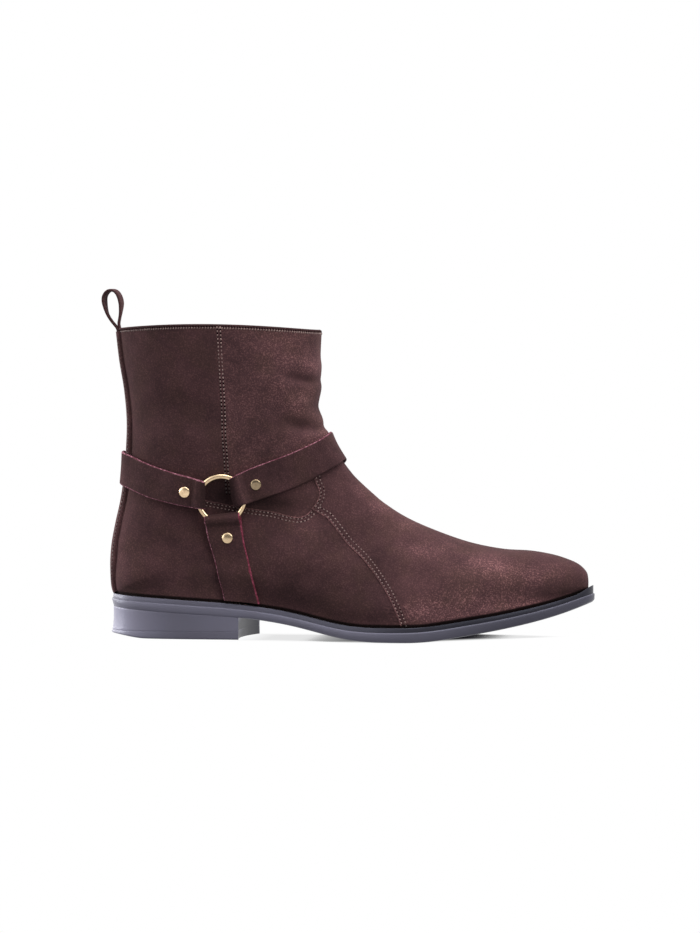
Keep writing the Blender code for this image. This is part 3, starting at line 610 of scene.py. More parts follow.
def hermite(xs, ys, slopes, x):
    """Curve through the points with the given slopes at them."""
    x = np.clip(np.asarray(x, float), xs[0], xs[-1])
    i = np.clip(np.searchsorted(xs, x, side="right") - 1, 0, len(xs) - 2)
    step = xs[i + 1] - xs[i]
    t = (x - xs[i]) / step
    start = (1 + 2 * t) * (1 - t) ** 2 * ys[i] + t * (1 - t) ** 2 * step * slopes[i]
    end = t * t * (3 - 2 * t) * ys[i + 1] + t * t * (t - 1) * step * slopes[i + 1]
    return start + end


def smooth(xs, ys, x):
    """Curve through the points that bends as evenly as it can."""
    chord = np.diff(ys) / np.diff(xs)
    step = np.diff(xs)
    middle = (chord[:-1] * step[1:] + chord[1:] * step[:-1]) / (step[:-1] + step[1:])
    slopes = np.concatenate([[chord[0]], middle, [chord[-1]]])
    return hermite(xs, ys, slopes, x)


def steady(xs, ys, x):
    """Curve through the points that keeps level stretches level."""
    chord = np.diff(ys) / np.diff(xs)
    product = chord[:-1] * chord[1:]
    total = chord[:-1] + chord[1:]
    middle = np.where(product > 0, 2 * product / np.where(product > 0, total, 1.0), 0.0)
    slopes = np.concatenate([[chord[0]], middle, [chord[-1]]])
    return hermite(xs, ys, slopes, x)


def ease(start, end, value):
    """Smooth step from none at the start to one at the end."""
    t = np.clip((np.asarray(value, float) - start) / (end - start), 0.0, 1.0)
    return t * t * (3 - 2 * t)


def tread_z(x):
    """Height of the tread along the sole."""
    return steady(SOLE_LINE[:, 0], SOLE_LINE[:, 1], x)


def welt_z(x):
    """Height of the welt's upper face along the sole."""
    return steady(SOLE_LINE[:, 0], SOLE_LINE[:, 2], x)


def plan_point(turn):
    """Edge of the sole at a turn: 0 at the back, 1 at the toe along the outer side, 2 at the back again."""
    x = SOLE_LENGTH * (1 - np.cos(math.pi * turn)) / 2
    half = np.sqrt(np.maximum(smooth(PLAN[:, 0], PLAN[:, 2] ** 2, x), 0.0))
    middle = smooth(PLAN[:, 0], PLAN[:, 1], x)
    side = np.where(np.sin(math.pi * turn) >= 0, -1.0, 1.0)
    return x, middle + side * half


def outline(turn, margin):
    """The sole's edge moved inward by a margin, which may be a function of x."""
    turn = np.asarray(turn, float)
    nudge = 1e-3
    x, y = plan_point(turn)
    ahead_x, ahead_y = plan_point(turn + nudge)
    behind_x, behind_y = plan_point(turn - nudge)
    along_x = ahead_x - behind_x
    along_y = ahead_y - behind_y
    length = np.hypot(along_x, along_y)
    inset = margin(x) if callable(margin) else margin
    return x - along_y / length * inset, y + along_x / length * inset


def feather_margin(x):
    """How far inside the sole's outline the upper's outer face meets the welt."""
    side = FEATHER_MARGIN_BACK + (FEATHER_MARGIN_SIDE - FEATHER_MARGIN_BACK) * ease(*FEATHER_SIDE_RUN, x)
    return side + (FEATHER_MARGIN_TOE - FEATHER_MARGIN_SIDE) * ease(*FEATHER_TOE_RUN, x)


def inner_margin(x):
    """How far inside the sole's outline the upper's inner face meets the welt."""
    return feather_margin(x) + WALL


def edge_table(margin):
    """The upper's lower edge in plan: its ends, then half width and middle at each share of it."""
    turns = np.linspace(0.0, 1.0, 801)
    x, outer_y = outline(turns, margin)
    inner_y = np.interp(x, *outline(2.0 - turns, margin))
    inner_y[0] = outer_y[0]
    inner_y[-1] = outer_y[-1]
    share = (x - x[0]) / (x[-1] - x[0])
    return x[0], x[-1], share, (inner_y - outer_y) / 2, (inner_y + outer_y) / 2


EDGE_OUTSIDE = edge_table(feather_margin)
EDGE_INSIDE = edge_table(inner_margin)


def edge_ends(inset):
    """Back and front end of the lower edge, moved inward by the inset."""
    depth = inset / WALL
    return [EDGE_OUTSIDE[i] + (EDGE_INSIDE[i] - EDGE_OUTSIDE[i]) * depth for i in (0, 1)]


def edge_at(x, inset):
    """Half width and middle of the lower edge at x, the edge moved inward by the inset."""
    start, end = edge_ends(inset)
    share = np.clip((x - start) / (end - start), 0.0, 1.0)
    found = []
    for i in (3, 4):
        outside = np.interp(share, EDGE_OUTSIDE[2], EDGE_OUTSIDE[i])
        inside = np.interp(share, EDGE_INSIDE[2], EDGE_INSIDE[i])
        found.append(outside + (inside - outside) * inset / WALL)
    return np.maximum(found[0], 0.0), found[1]


def section_values(row):
    """Every column of the sections' table at a row, which may lie between two sections."""
    rows = np.arange(len(SECTIONS), dtype=float)
    return {name: smooth(rows, SECTIONS[:, i], row) for i, name in enumerate(SECTION_COLUMNS)}


def section_frame(row, outer, inset):
    """Both ends of a section on one side of the boot, with its widths, moved inward by the inset."""
    at = section_values(row)
    nudge = 0.02
    ahead = section_values(np.clip(row + nudge, 0.0, TOE_ROW))
    behind = section_values(np.clip(row - nudge, 0.0, TOE_ROW))
    ends = []
    for column, inward in (("front", inset), ("back", -inset)):
        run = ahead[column + "_x"] - behind[column + "_x"]
        drop = ahead[column + "_z"] - behind[column + "_z"]
        length = np.hypot(run, drop)
        ends.append(at[column + "_x"] + drop / length * inward)
        ends.append(at[column + "_z"] - run / length * inward)
    front_x, front_z, seam_x, seam_z = ends
    on_foot = row > HEEL_ROW
    start, end = edge_ends(inset)
    whole = EDGE_OUTSIDE[1] - EDGE_OUTSIDE[0]
    foot_x = start + (at["back_x"] - EDGE_OUTSIDE[0]) / whole * (end - start)
    back_x = np.where(on_foot, foot_x, seam_x)
    shift = np.where(on_foot, 0.0, seam_x - start)
    half = np.where(outer, at["half_out"], at["half_in"]) - inset
    widest_x = back_x + (front_x - back_x) * at["widest"]
    below = edge_at(widest_x - shift, inset)[0] * ease(*HEEL_BLEND, row)
    return {
        "front_x": front_x,
        "front_z": front_z,
        "back_x": back_x,
        "back_z": np.where(on_foot, welt_z(foot_x) + GAP, seam_z),
        "shift": shift,
        "ridge_y": at["ridge_y"],
        "edge": np.where(on_foot, edge_at(foot_x, inset)[0], 0.0),
        "full": np.maximum(half, below + 0.2 * np.minimum(below, 1.0)),
        "widest": at["widest"],
        "fullness": at["fullness"],
    }


def lower_rise(angle, upright):
    """Share of the lower part climbed at an angle: round where the section closes, upright over an edge."""
    straight = upright ** 2
    return (1 - straight) * (1 - np.cos(angle)) + straight * angle * 2 / math.pi


def upper_point(row, turn, inset=0.0):
    """Point of the upper, inset from its outside. turn: 0 outer edge or back, 1 ridge, 2 inner edge."""
    row, turn, inset = np.broadcast_arrays(*(np.asarray(value, float) for value in (row, turn, inset)))
    turn = np.where(np.abs(turn - 2.0) < 1e-6, 2.0, np.mod(turn, 2.0))
    outer = turn <= 1.0
    at = section_frame(np.clip(row, 0.0, TOE_ROW), outer, inset)
    climb = np.where(outer, turn, 2.0 - turn)
    low = math.pi * np.clip(climb, 0.0, 0.5)
    high = math.pi * (np.clip(climb, 0.5, 1.0) - 0.5)
    power = 2.0 / at["fullness"]
    upright = at["edge"] / np.maximum(at["full"], 1e-9)
    rise_low = at["widest"] * lower_rise(low, upright)
    rise_high = at["widest"] + (1 - at["widest"]) * np.sin(high) ** power
    wide_high = at["full"] * np.maximum(np.cos(high), 0.0) ** power
    rise = np.where(climb < 0.5, rise_low, rise_high)
    x = at["back_x"] + (at["front_x"] - at["back_x"]) * rise
    z = at["back_z"] + (at["front_z"] - at["back_z"]) * rise
    z = z + COLLAR_ARCH * (1 - ease(0.0, COLLAR_ARCH_ROWS, row)) * 4 * rise * (1 - rise)
    below, low_middle = edge_at(x - at["shift"], inset)
    below = np.minimum(below, at["full"])
    on_foot = ease(*HEEL_BLEND, row)
    round_back = (at["full"] * np.sin(low)) ** 2
    over_edge = below ** 2 + (at["full"] ** 2 - below ** 2) * np.sin(low) ** 3
    wide_low = np.sqrt(np.maximum(round_back + (over_edge - round_back) * on_foot, 0.0))
    wide = np.where(climb < 0.5, wide_low, wide_high)
    low_middle = low_middle * on_foot
    middle = low_middle + (at["ridge_y"] - low_middle) * ease(0.0, 1.0, rise)
    return np.stack([x, middle + np.where(outer, -wide, wide), z], axis=-1)


def upper_normal(row, turn):
    """Outward direction of the upper's side wall."""
    row, turn = np.broadcast_arrays(np.asarray(row, float), np.asarray(turn, float))
    nudge = 0.01
    along = upper_point(row + nudge, turn) - upper_point(row - nudge, turn)
    round_it = upper_point(row, turn + nudge) - upper_point(row, turn - nudge)
    normal = np.cross(along, round_it)
    return normal / np.linalg.norm(normal, axis=-1, keepdims=True)


def side_place(x, z):
    """Section row and turn of the outer wall at a point of the side view."""
    x = np.asarray(x, float)
    z = np.asarray(z, float)
    low = np.zeros_like(x)
    high = np.full_like(x, float(TOE_ROW))
    for _ in range(40):
        middle = (low + high) / 2
        at = section_frame(middle, True, 0.0)
        run = at["front_x"] - at["back_x"]
        climb = at["front_z"] - at["back_z"]
        past = run * (z - at["back_z"]) - climb * (x - at["back_x"]) > 0
        low = np.where(past, low, middle)
        high = np.where(past, middle, high)
    row = (low + high) / 2
    at = section_frame(row, True, 0.0)
    run = at["front_x"] - at["back_x"]
    climb = at["front_z"] - at["back_z"]
    rise = ((x - at["back_x"]) * run + (z - at["back_z"]) * climb) / (run ** 2 + climb ** 2)
    rise = np.clip(rise, 0.0, 1.0)
    upright = at["edge"] / np.maximum(at["full"], 1e-9)
    low = np.zeros_like(rise)
    high = np.full_like(rise, math.pi / 2)
    for _ in range(40):
        middle = (low + high) / 2
        past = lower_rise(middle, upright) > rise / at["widest"]
        high = np.where(past, middle, high)
        low = np.where(past, low, middle)
    share = np.clip((rise - at["widest"]) / (1 - at["widest"]), 0.0, 1.0)
    upper = 0.5 + np.arcsin(share ** (at["fullness"] / 2)) / math.pi
    return row, np.where(rise < at["widest"], low / math.pi, upper)


def row_at_height(column, height):
    """Section row whose front or back end is at a height, between the collar and the vamp."""
    rows = np.linspace(0.0, HEEL_ROW, 801)
    heights = section_values(rows)[column]
    return float(np.interp(-height, -heights, rows))


def to_linear(hex_colour):
    """Linear RGB of an sRGB hex colour."""
    parts = [int(hex_colour[i:i + 2], 16) / 255 for i in (1, 3, 5)]
    return tuple(p / 12.92 if p <= 0.04045 else ((p + 0.055) / 1.055) ** 2.4 for p in parts)


def place(points):
    """Points in the boot's millimetres as points in the frame, in metres."""
    return (np.asarray(points, float) - (ORIGIN_X, 0.0, 0.0)) * MM


def distance_along(points):
    """Distance along a line at each of its points."""
    return np.concatenate([[0.0], np.cumsum(np.linalg.norm(np.diff(points, axis=0), axis=1))])


def polyline(table, count):
    """Evenly spaced points on the smooth curve through a table of two columns."""
    index = np.arange(len(table), dtype=float)
    fine = np.linspace(0.0, index[-1], 40 * len(table))
    curve = np.stack([smooth(index, table[:, i], fine) for i in range(2)], axis=-1)
    run = distance_along(curve)
    wanted = np.linspace(0.0, run[-1], count)
    return np.stack([np.interp(wanted, run, curve[:, i]) for i in range(2)], axis=-1)


def signed_distance(x, z, line):
    """Distance of points of the side view from a line, positive to its left as the line runs."""
    best = np.full(x.shape, np.inf)
    signed = np.zeros(x.shape)
    for a, b in zip(line[:-1], line[1:]):
        step = b - a
        length = step.dot(step)
        t = np.clip(((x - a[0]) * step[0] + (z - a[1]) * step[1]) / length, 0.0, 1.0)
        off_x = x - a[0] - step[0] * t
        off_z = z - a[1] - step[1] * t
        distance = np.hypot(off_x, off_z)
        side = np.where(step[0] * (z - a[1]) - step[1] * (x - a[0]) >= 0, 1.0, -1.0)
        nearer = distance < best
        best = np.where(nearer, distance, best)
        signed = np.where(nearer, distance * side, signed)
    return signed


def fold_height(x, z):
    """Outward height of the shaft's folds at points of the side view."""
    total = np.zeros(x.shape)
    for start_x, start_z, end_x, end_z, height, width, grows_from, grows_to in SHAFT_FOLDS:
        run_x = end_x - start_x
        run_z = end_z - start_z
        length = math.hypot(run_x, run_z)
        along = ((x - start_x) * run_x + (z - start_z) * run_z) / length
        across = ((z - start_z) * run_x - (x - start_x) * run_z) / length
        fade = (1 - ease(0.25 * length, length, along)) * ease(grows_from, grows_to, along)
        total += height * fade * np.exp(-(across / width) ** 2)
    return total


def add_piece(name, points, faces, finishes, face_slots=None, tone=None, sharp=40.0):
    """Closed mesh from points in millimetres, with doubled points joined and faces turned outward."""
    mesh = bpy.data.meshes.new(name)
    mesh.from_pydata(place(points).tolist(), [], [tuple(int(i) for i in face) for face in faces])
    for finish in finishes:
        mesh.materials.append(finish_of(finish))
    if face_slots is not None:
        mesh.polygons.foreach_set("material_index", np.asarray(face_slots, np.int32))
    level = mesh.attributes.new("tone", "FLOAT", "POINT")
    values = np.ones(len(mesh.vertices)) if tone is None else np.asarray(tone, float)
    level.data.foreach_set("value", values.astype(np.float32))
    work = bmesh.new()
    work.from_mesh(mesh)
    bmesh.ops.remove_doubles(work, verts=work.verts, dist=DOUBLE_POINT * MM)
    bmesh.ops.dissolve_degenerate(work, edges=work.edges, dist=DOUBLE_POINT / 2 * MM)
    bmesh.ops.recalc_face_normals(work, faces=work.faces)
    work.to_mesh(mesh)
    work.free()
    mesh.polygons.foreach_set("use_smooth", np.ones(len(mesh.polygons), bool))
    mesh.set_sharp_from_angle(angle=math.radians(sharp))
    made = bpy.data.objects.new(name, mesh)
    bpy.context.scene.collection.objects.link(made)
    return made


def hand_over(piece, slot, *nodes):
    """The piece rides on the boot's one body and stands for its solids; its slot is not used."""
    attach(piece, "root")
    if nodes:
        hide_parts(*nodes)


def grid_faces(rows, columns, start=0, flip=False):
    """Quads of a grid of points that is numbered row by row from the start."""
    a = start + np.arange(rows - 1)[:, None] * columns + np.arange(columns - 1)[None, :]
    quads = np.stack([a, a + 1, a + columns + 1, a + columns], axis=-1).reshape(-1, 4)
    return (quads[:, ::-1] if flip else quads).tolist()


def tube_faces(levels, count):
    """Quads between rings of points that are numbered ring by ring."""
    faces = []
    for level in range(levels - 1):
        a = level * count + np.arange(count)
        b = level * count + (np.arange(count) + 1) % count
        faces += np.stack([a, b, b + count, a + count], axis=-1).tolist()
    return faces


def sheet_faces(rows, columns, start=0):
    """Faces of a sheet between a lower and an upper grid: its two sides, its long edges and its ends."""
    upper = start + rows * columns
    faces = grid_faces(rows, columns, start, True) + grid_faces(rows, columns, upper)
    for edge in (0, columns - 1):
        a = np.arange(rows - 1) * columns + edge
        faces += np.stack([start + a, start + a + columns, upper + a + columns, upper + a], axis=-1).tolist()
    for end in (0, rows - 1):
        a = end * columns + np.arange(columns - 1)
        faces += np.stack([start + a, start + a + 1, upper + a + 1, upper + a], axis=-1).tolist()
    return faces


def mirrored_turn(turn, side):
    """The turn on its own side of the boot: the outer side's is kept, the inner side's is mirrored."""
    return turn if side < 0 else 2.0 - turn


def upper_face(row, turn, out=0.0):
    """Point of the dressed upper: the panels' steps, the seams and the folds on the plain form."""
    base = upper_point(row, turn)
    return upper_point(row, turn, -(relief(base[..., 0], base[..., 2]) + out)) + collar_lean(row, turn)


SHAFT_EDGE_LINE = polyline(SHAFT_EDGE, 90)
VAMP_EDGE_LINE = polyline(VAMP_EDGE, 60)
SHAFT_SEAM_LINE = polyline(SHAFT_SEAM, 50)


def relief(x, z):
    """Outward height of the upper's surface over its plain form at points of the side view."""
    x = np.asarray(x, float)
    z = np.asarray(z, float)
    sizes = bpy.context.scene.boot_sizes
    step = sizes.panel_step / MM
    over_shaft = signed_distance(x, z, SHAFT_EDGE_LINE)
    on_vamp = signed_distance(x, z, VAMP_EDGE_LINE)
    seam = np.abs(signed_distance(x, z, SHAFT_SEAM_LINE))
    shaft = ease(-STEP_BLEND, STEP_BLEND, over_shaft)
    height = -step * shaft * (1 - ease(0.0, SEAM_STEP_RUN, over_shaft))
    vamp = ease(-STEP_BLEND, STEP_BLEND, on_vamp) * (1 - shaft)
    height = height + VAMP_OVER * step * vamp * (1 - ease(0.0, 2 * SEAM_STEP_RUN, on_vamp))
    quarter = (1 - vamp) * (1 - shaft)
    height = height - QUARTER_UNDER * step * quarter * (1 - ease(0.0, SEAM_STEP_RUN, -on_vamp))
    height = height - SEAM_DEPTH * np.exp(-(seam / SEAM_WIDTH) ** 2) * shaft
    pull = sizes.stitch_pull / MM
    for offset in SHAFT_EDGE_ROWS:
        height = height - pull * np.exp(-((over_shaft + offset) / PULL_WIDTH) ** 2)
    for offset in VAMP_EDGE_ROWS:
        height = height - pull * np.exp(-((on_vamp - offset) / PULL_WIDTH) ** 2) * (1 - shaft)
    return height + fold_height(x, z) * sizes.fold_depth * shaft


def length_setting(name, description, default):
    """Setting for a length in metres."""
    return bpy.props.FloatProperty(name=name, description=description, default=default, unit="LENGTH")


def colour_setting(name, description, default):
    """Setting for a colour, from an sRGB hex colour."""
    return bpy.props.FloatVectorProperty(
        name=name, description=description, default=to_linear(default), subtype="COLOR",
    )


class BootSizes(bpy.types.PropertyGroup):
    """Sizes that change the boot's dress and leave its solids alone."""

    panel_step: length_setting("Panel step", "How far a panel stands over the one below it", 0.0008)
    stitch_pull: length_setting("Stitch pull", "How deep a row of stitches pulls the suede in", 0.0003)
    fold_depth: bpy.props.FloatProperty(
        name="Fold depth", description="Share of the full depth of the shaft's folds",
        default=1.0, subtype="FACTOR",
    )
    stitch_pitch: length_setting("Stitch pitch", "Distance from one stitch to the next", 0.00244)
    stitch_length: length_setting("Stitch length", "Length of thread that shows in a stitch", 0.00145)
    thread_width: length_setting("Thread width", "Thickness of the sewing thread", 0.00082)


class BootColours(bpy.types.PropertyGroup):
    """Colours of the boot's finishes."""

    suede_dark: colour_setting("Suede, dark", "Suede where the nap lies away from the light", "#3a282a")
    suede_light: colour_setting("Suede, light", "Suede where the nap stands towards the light", "#5a3e40")
    suede_fibre: colour_setting("Suede fibres", "Pale ends of single fibres", "#a37370")
    raw_edge: colour_setting("Raw edge", "Cut edge of the straps, dyed through", "#6d2a3a")
    thread: colour_setting("Thread", "Sewing thread", "#a88c85")
    brass: colour_setting("Brass", "Rings and rivets", "#d3ba98")
    rubber: colour_setting("Rubber", "Sole and heel", "#5f5e6b")
    lining: colour_setting("Lining", "Lining and sock", "#cdb7ac")


def add_node(tree, kind, inputs=None, **settings):
    """Adds a node, sets it up, and fills its inputs with values or with links from other sockets."""
    made = tree.nodes.new(kind)
    for key, value in settings.items():
        setattr(made, key, value)
    for key, value in (inputs or {}).items():
        if isinstance(value, bpy.types.NodeSocket):
            tree.links.new(value, made.inputs[key])
        else:
            made.inputs[key].default_value = value
    return made


def per_metre(size_mm):
    """Texture scale that gives features of a size in millimetres."""
    return 1.0 / (size_mm * MM)


def new_material(name, **sockets):
    """Material with its Principled shader, the constant values set on its sockets."""
    made = bpy.data.materials.new(name)
    made.use_nodes = True
    shader = made.node_tree.nodes["Principled BSDF"]
    for key, value in sockets.items():
        shader.inputs[key.replace("_", " ")].default_value = value
    return made, made.node_tree, shader


def opaque(colour):
    """Linear RGB as RGBA, or a socket as it is."""
    return colour if isinstance(colour, bpy.types.NodeSocket) else (*colour, 1.0)


def own_place(tree):
    """Place on the piece itself, for patterns that stay with it."""
    return add_node(tree, "ShaderNodeTexCoord").outputs["Object"]


def noise(tree, size_mm, **inputs):
    """Cloudy pattern with features of a size in millimetres."""
    inputs = {"Vector": own_place(tree), "Scale": per_metre(size_mm), **inputs}
    return add_node(tree, "ShaderNodeTexNoise", inputs).outputs["Fac"]


def spread(tree, value, start, end, least=0.0, most=1.0, **settings):
    """A value's share of the way from start to end, as a number between least and most."""
    return add_node(tree, "ShaderNodeMapRange", {
        "Value": value, "From Min": start, "From Max": end, "To Min": least, "To Max": most,
    }, **settings).outputs[0]


def reckon(tree, operation, *values):
    """Result of a sum with numbers or sockets."""
    return add_node(tree, "ShaderNodeMath", dict(enumerate(values)), operation=operation).outputs[0]


def blend(tree, share, first, second):
    """Colour that goes from the first to the second."""
    return add_node(tree, "ShaderNodeMix", {
        0: share, 6: opaque(first), 7: opaque(second),
    }, data_type="RGBA").outputs[2]


def point_tone(tree):
    """How light the piece is at each of its points."""
    return add_node(tree, "ShaderNodeAttribute", attribute_name="tone").outputs["Fac"]


def paint(tree, shader, colour, toned=True):
    """Base colour of a shader, lighter or darker with the tone at each point."""
    if toned:
        colour = add_node(tree, "ShaderNodeVectorMath", {
            0: colour, "Scale": point_tone(tree),
        }, operation="SCALE").outputs[0]
    tree.links.new(colour, shader.inputs["Base Color"])


def emboss(tree, shader, height, strength, depth_mm):
    """Fine relief of a shader from a pattern of heights."""
    bump = add_node(tree, "ShaderNodeBump", {
        "Height": height, "Strength": strength, "Distance": depth_mm * MM,
    })
    tree.links.new(bump.outputs[0], shader.inputs["Normal"])


# Suede, split side brushed up: a dull, short nap that lies light or dark in clouds, with a dust of pale fibre
# ends. The ends are coarser than real ones, which are too fine to show at this distance.
def suede_material(name, light, dark, fibre):
    made, tree, shader = new_material(
        name, Roughness=0.95, Sheen_Weight=0.06, Sheen_Roughness=0.5, Specular_IOR_Level=0.08,
        Sheen_Tint=opaque(to_linear("#d8a9a9")),
    )
    cloud = noise(tree, 24.0, Detail=3.0, Roughness=0.55)
    brushed = noise(tree, 4.0, Detail=4.0, Roughness=0.7, Distortion=0.8)
    nap = noise(tree, 0.92, Detail=2.0, Roughness=0.7)
    lie = spread(tree, reckon(tree, "MULTIPLY_ADD", brushed, 0.4, cloud), 0.42, 0.98)
    browner = spread(tree, noise(tree, 16.0, Detail=2.0), 0.45, 0.65, most=0.4)
    ground = blend(tree, browner, blend(tree, lie, dark, light), to_linear("#4b3732"))
    # More pale fibre ends show where the tone is higher, following the nap and the painted light in the tone.
    fibres_by_tone = spread(tree, point_tone(tree), 1.08, 1.5, 0.16, 0.80)
    amount = reckon(tree, "MULTIPLY_ADD", lie, fibres_by_tone, 0.08)
    ends = spread(tree, nap, 0.50, 0.66, most=amount)
    paint(tree, shader, blend(tree, ends, ground, fibre))
    emboss(tree, shader, reckon(tree, "ADD", nap, brushed), 0.4, 0.4)
    return made


# Leather cut through and dyed in the mass: a dry, fibrous edge, crimson with paler fuzz.
def raw_edge_material(name, colour, fuzz_colour):
    made, tree, shader = new_material(name, Roughness=0.85, Specular_IOR_Level=0.2)
    fuzz = noise(tree, 1.6, Detail=4.0, Roughness=0.7)
    paint(tree, shader, blend(tree, spread(tree, fuzz, 0.46, 0.62), colour, fuzz_colour), toned=False)
    emboss(tree, shader, fuzz, 0.5, 0.3)
    return made


# Full-grain lining leather, drummed and left undyed: smooth, pale and faintly pored, with the sheen of use.
# Its pores are coarser than real ones, so that they show.
def lining_material(name, colour):
    made, tree, shader = new_material(name, Roughness=0.6, Specular_IOR_Level=0.35)
    cloud = noise(tree, 18.0, Detail=3.0)
    paint(tree, shader, blend(tree, cloud, colour, to_linear("#b89f93")), toned=False)
    pores = add_node(tree, "ShaderNodeTexVoronoi", {"Vector": own_place(tree), "Scale": per_metre(1.1)})
    emboss(tree, shader, pores.outputs["Distance"], 0.25, 0.2)
    return made


# Brass, plated pale and tumbled: bright on the crowns, with faint rubbed scratches and duller tan patches.
def brass_material(name, colour):
    made, tree, shader = new_material(name, Metallic=1.0)
    patch = noise(tree, 3.0, Detail=4.0, Roughness=0.6)
    paint(tree, shader, blend(tree, spread(tree, patch, 0.45, 0.75, most=0.55), colour, to_linear("#94704e")))
    tree.links.new(spread(tree, patch, 0.0, 1.0, 0.14, 0.28), shader.inputs["Roughness"])
    emboss(tree, shader, noise(tree, 0.5, Detail=3.0, Distortion=1.5), 0.04, 0.1)
    return made


# Rubber, moulded in a satin tool: charcoal with a cold cast, a soft broad gloss and a very fine grain, or
# ribs across the tread.
def rubber_material(name, colour, ribbed=False):
    made, tree, shader = new_material(
        name, Specular_IOR_Level=0.28, Specular_Tint=opaque(to_linear("#d3d8f2")),
    )
    cloud = noise(tree, 14.0, Detail=4.0, Roughness=0.6)
    paint(tree, shader, blend(tree, cloud, colour, to_linear("#5b5963")))
    tree.links.new(spread(tree, cloud, 0.0, 1.0, 0.28, 0.40), shader.inputs["Roughness"])
    if ribbed:
        ribs = add_node(tree, "ShaderNodeTexWave", {
            "Vector": own_place(tree), "Scale": per_metre(20.0), "Distortion": 0.0,
        }, bands_direction="X", wave_profile="SIN")
        emboss(tree, shader, ribs.outputs["Fac"], 0.7, 0.3)
    else:
        emboss(tree, shader, noise(tree, 0.45, Detail=2.0), 0.1, 0.3)
    return made


# Bonded nylon thread: a dull twist that catches light along its crown, darker where it is worn.
def thread_material(name, colour):
    made, tree, shader = new_material(name, Roughness=0.7, Sheen_Weight=0.2)
    tone_gain = spread(tree, noise(tree, 6.0, Detail=3.0), 0.38, 0.68)
    paint(tree, shader, blend(tree, tone_gain, colour, to_linear("#6d504c")))
    return made


# Needle hole punched through suede: a pit too small to light, drawn as a dull dark dot of painted shade.
def hole_material(name, colour):
    return new_material(name, Roughness=1.0, Specular_IOR_Level=0.0, Base_Color=opaque(colour))[0]


def finish_of(name):
    """A finish of the boot, made the first time that a piece asks for it."""
    if name in bpy.data.materials:
        return bpy.data.materials[name]
    colours = bpy.context.scene.boot_colours
    maker, *given = {
        SUEDE: (suede_material, colours.suede_light, colours.suede_dark, colours.suede_fibre),
        # Lit copy of the raw edge: its paler colour and fuzz are a painted highlight.
        LIT_EDGE: (raw_edge_material, to_linear("#6a3644"), to_linear("#c58796")),
        CRIMSON_EDGE: (raw_edge_material, colours.raw_edge, to_linear("#a04a60")),
        LINING_LEATHER: (lining_material, colours.lining),
        BRASS: (brass_material, colours.brass),
        RUBBER: (rubber_material, colours.rubber),
        TREAD_RUBBER: (rubber_material, colours.rubber, True),
        THREAD: (thread_material, colours.thread),
        NEEDLE_HOLE: (hole_material, to_linear("#1d1012")),
    }[name]
    return maker(name, *given)


def zip_strip(first, first_place, second, second_place):
    """Triangles between two lines of points, walking along both by their places."""
    faces = []
    i = j = 0
    while i < len(first) - 1 or j < len(second) - 1:
        second_done = j == len(second) - 1
        if second_done or (i < len(first) - 1 and first_place[i + 1] <= second_place[j + 1]):
            faces.append((first[i], first[i + 1], second[j]))
            i += 1
        else:
            faces.append((first[i], second[j + 1], second[j]))
            j += 1
    return faces


def wall_point(row, turn, inset):
    """Point inside the wall of the upper, which follows the folds of the shaft."""
    base = upper_point(row, turn)
    x, z = base[..., 0], base[..., 2]
    shaft = ease(-STEP_BLEND, STEP_BLEND, signed_distance(x, z, SHAFT_EDGE_LINE))
    fold = fold_height(x, z) * bpy.context.scene.boot_sizes.fold_depth * shaft
    return upper_point(row, turn, inset - fold)


def collar_lean(row, turn):
    """The inner side's collar, which stands a little lower than the outer side's except at the back."""
    lean = smooth(COLLAR_LEAN[:, 0], COLLAR_LEAN[:, 1], np.clip(turn - 1.0, 0.0, 1.0))
    rise = lean * (1 - ease(0.0, COLLAR_LEAN_ROWS, row))
    return np.stack([0 * rise, 0 * rise, rise], axis=-1)


def shell(name, face_places, back_places, face_inset, back_inset, finish, **more):
    """Wall of the upper between two insets, its face finer than its back, with a round rim at the collar."""
    row, turn = face_places
    row_b, turn_b = back_places
    dressed = face_inset is None
    face = upper_face(row, turn) if dressed else wall_point(row, turn, face_inset) + collar_lean(row, turn)
    back = wall_point(row_b, turn_b, back_inset) + collar_lean(row_b, turn_b)
    points = [face.reshape(-1, 3), back.reshape(-1, 3)]
    start = row.size
    faces = grid_faces(*row.shape) + grid_faces(*row_b.shape, start, True)
    face_id = np.arange(start).reshape(row.shape)
    back_id = start + np.arange(row_b.size).reshape(row_b.shape)
    middle = (back_inset + (face_inset or 0.0)) / 2
    half = (back_inset - (face_inset or 0.0)) / 2
    last = face_id[0]
    begin = start + row_b.size
    for share in RIM_SHARES:
        line = upper_point(0 * turn[0], turn[0], middle - half * math.cos(math.pi * share))
        line = line + (0.0, 0.0, half * math.sin(math.pi * share)) + collar_lean(0 * turn[0], turn[0])
        ids = begin + np.arange(len(line))
        begin += len(line)
        points.append(line)
        faces += zip_strip(last, turn[0], ids, turn[0])
        last = ids
    faces += zip_strip(last, turn[0], back_id[0], turn_b[0])
    low = row[:, 0] >= HEEL_ROW
    low_b = row_b[:, 0] >= HEEL_ROW
    for edge in (0, -1):
        faces += zip_strip(face_id[low, edge], row[low, 0], back_id[low_b, edge], row_b[low_b, 0])
    points = np.concatenate(points)
    tone = np.ones(len(points))
    if dressed:
        tone[:start] = suede_tone(row, turn).reshape(-1)
        tone[start:] = INSIDE_TONE
    return add_piece(name, points, faces, [finish], tone=tone, **more)


def shell_places(stretches, columns):
    """Section rows and turns of a grid round the upper."""
    *others, last = stretches
    rows = [np.linspace(*stretch, endpoint=False) for stretch in others]
    rows = np.concatenate([*rows, np.linspace(*last)])
    return np.meshgrid(rows, np.linspace(0.0, 2.0, columns + 1), indexing="ij")


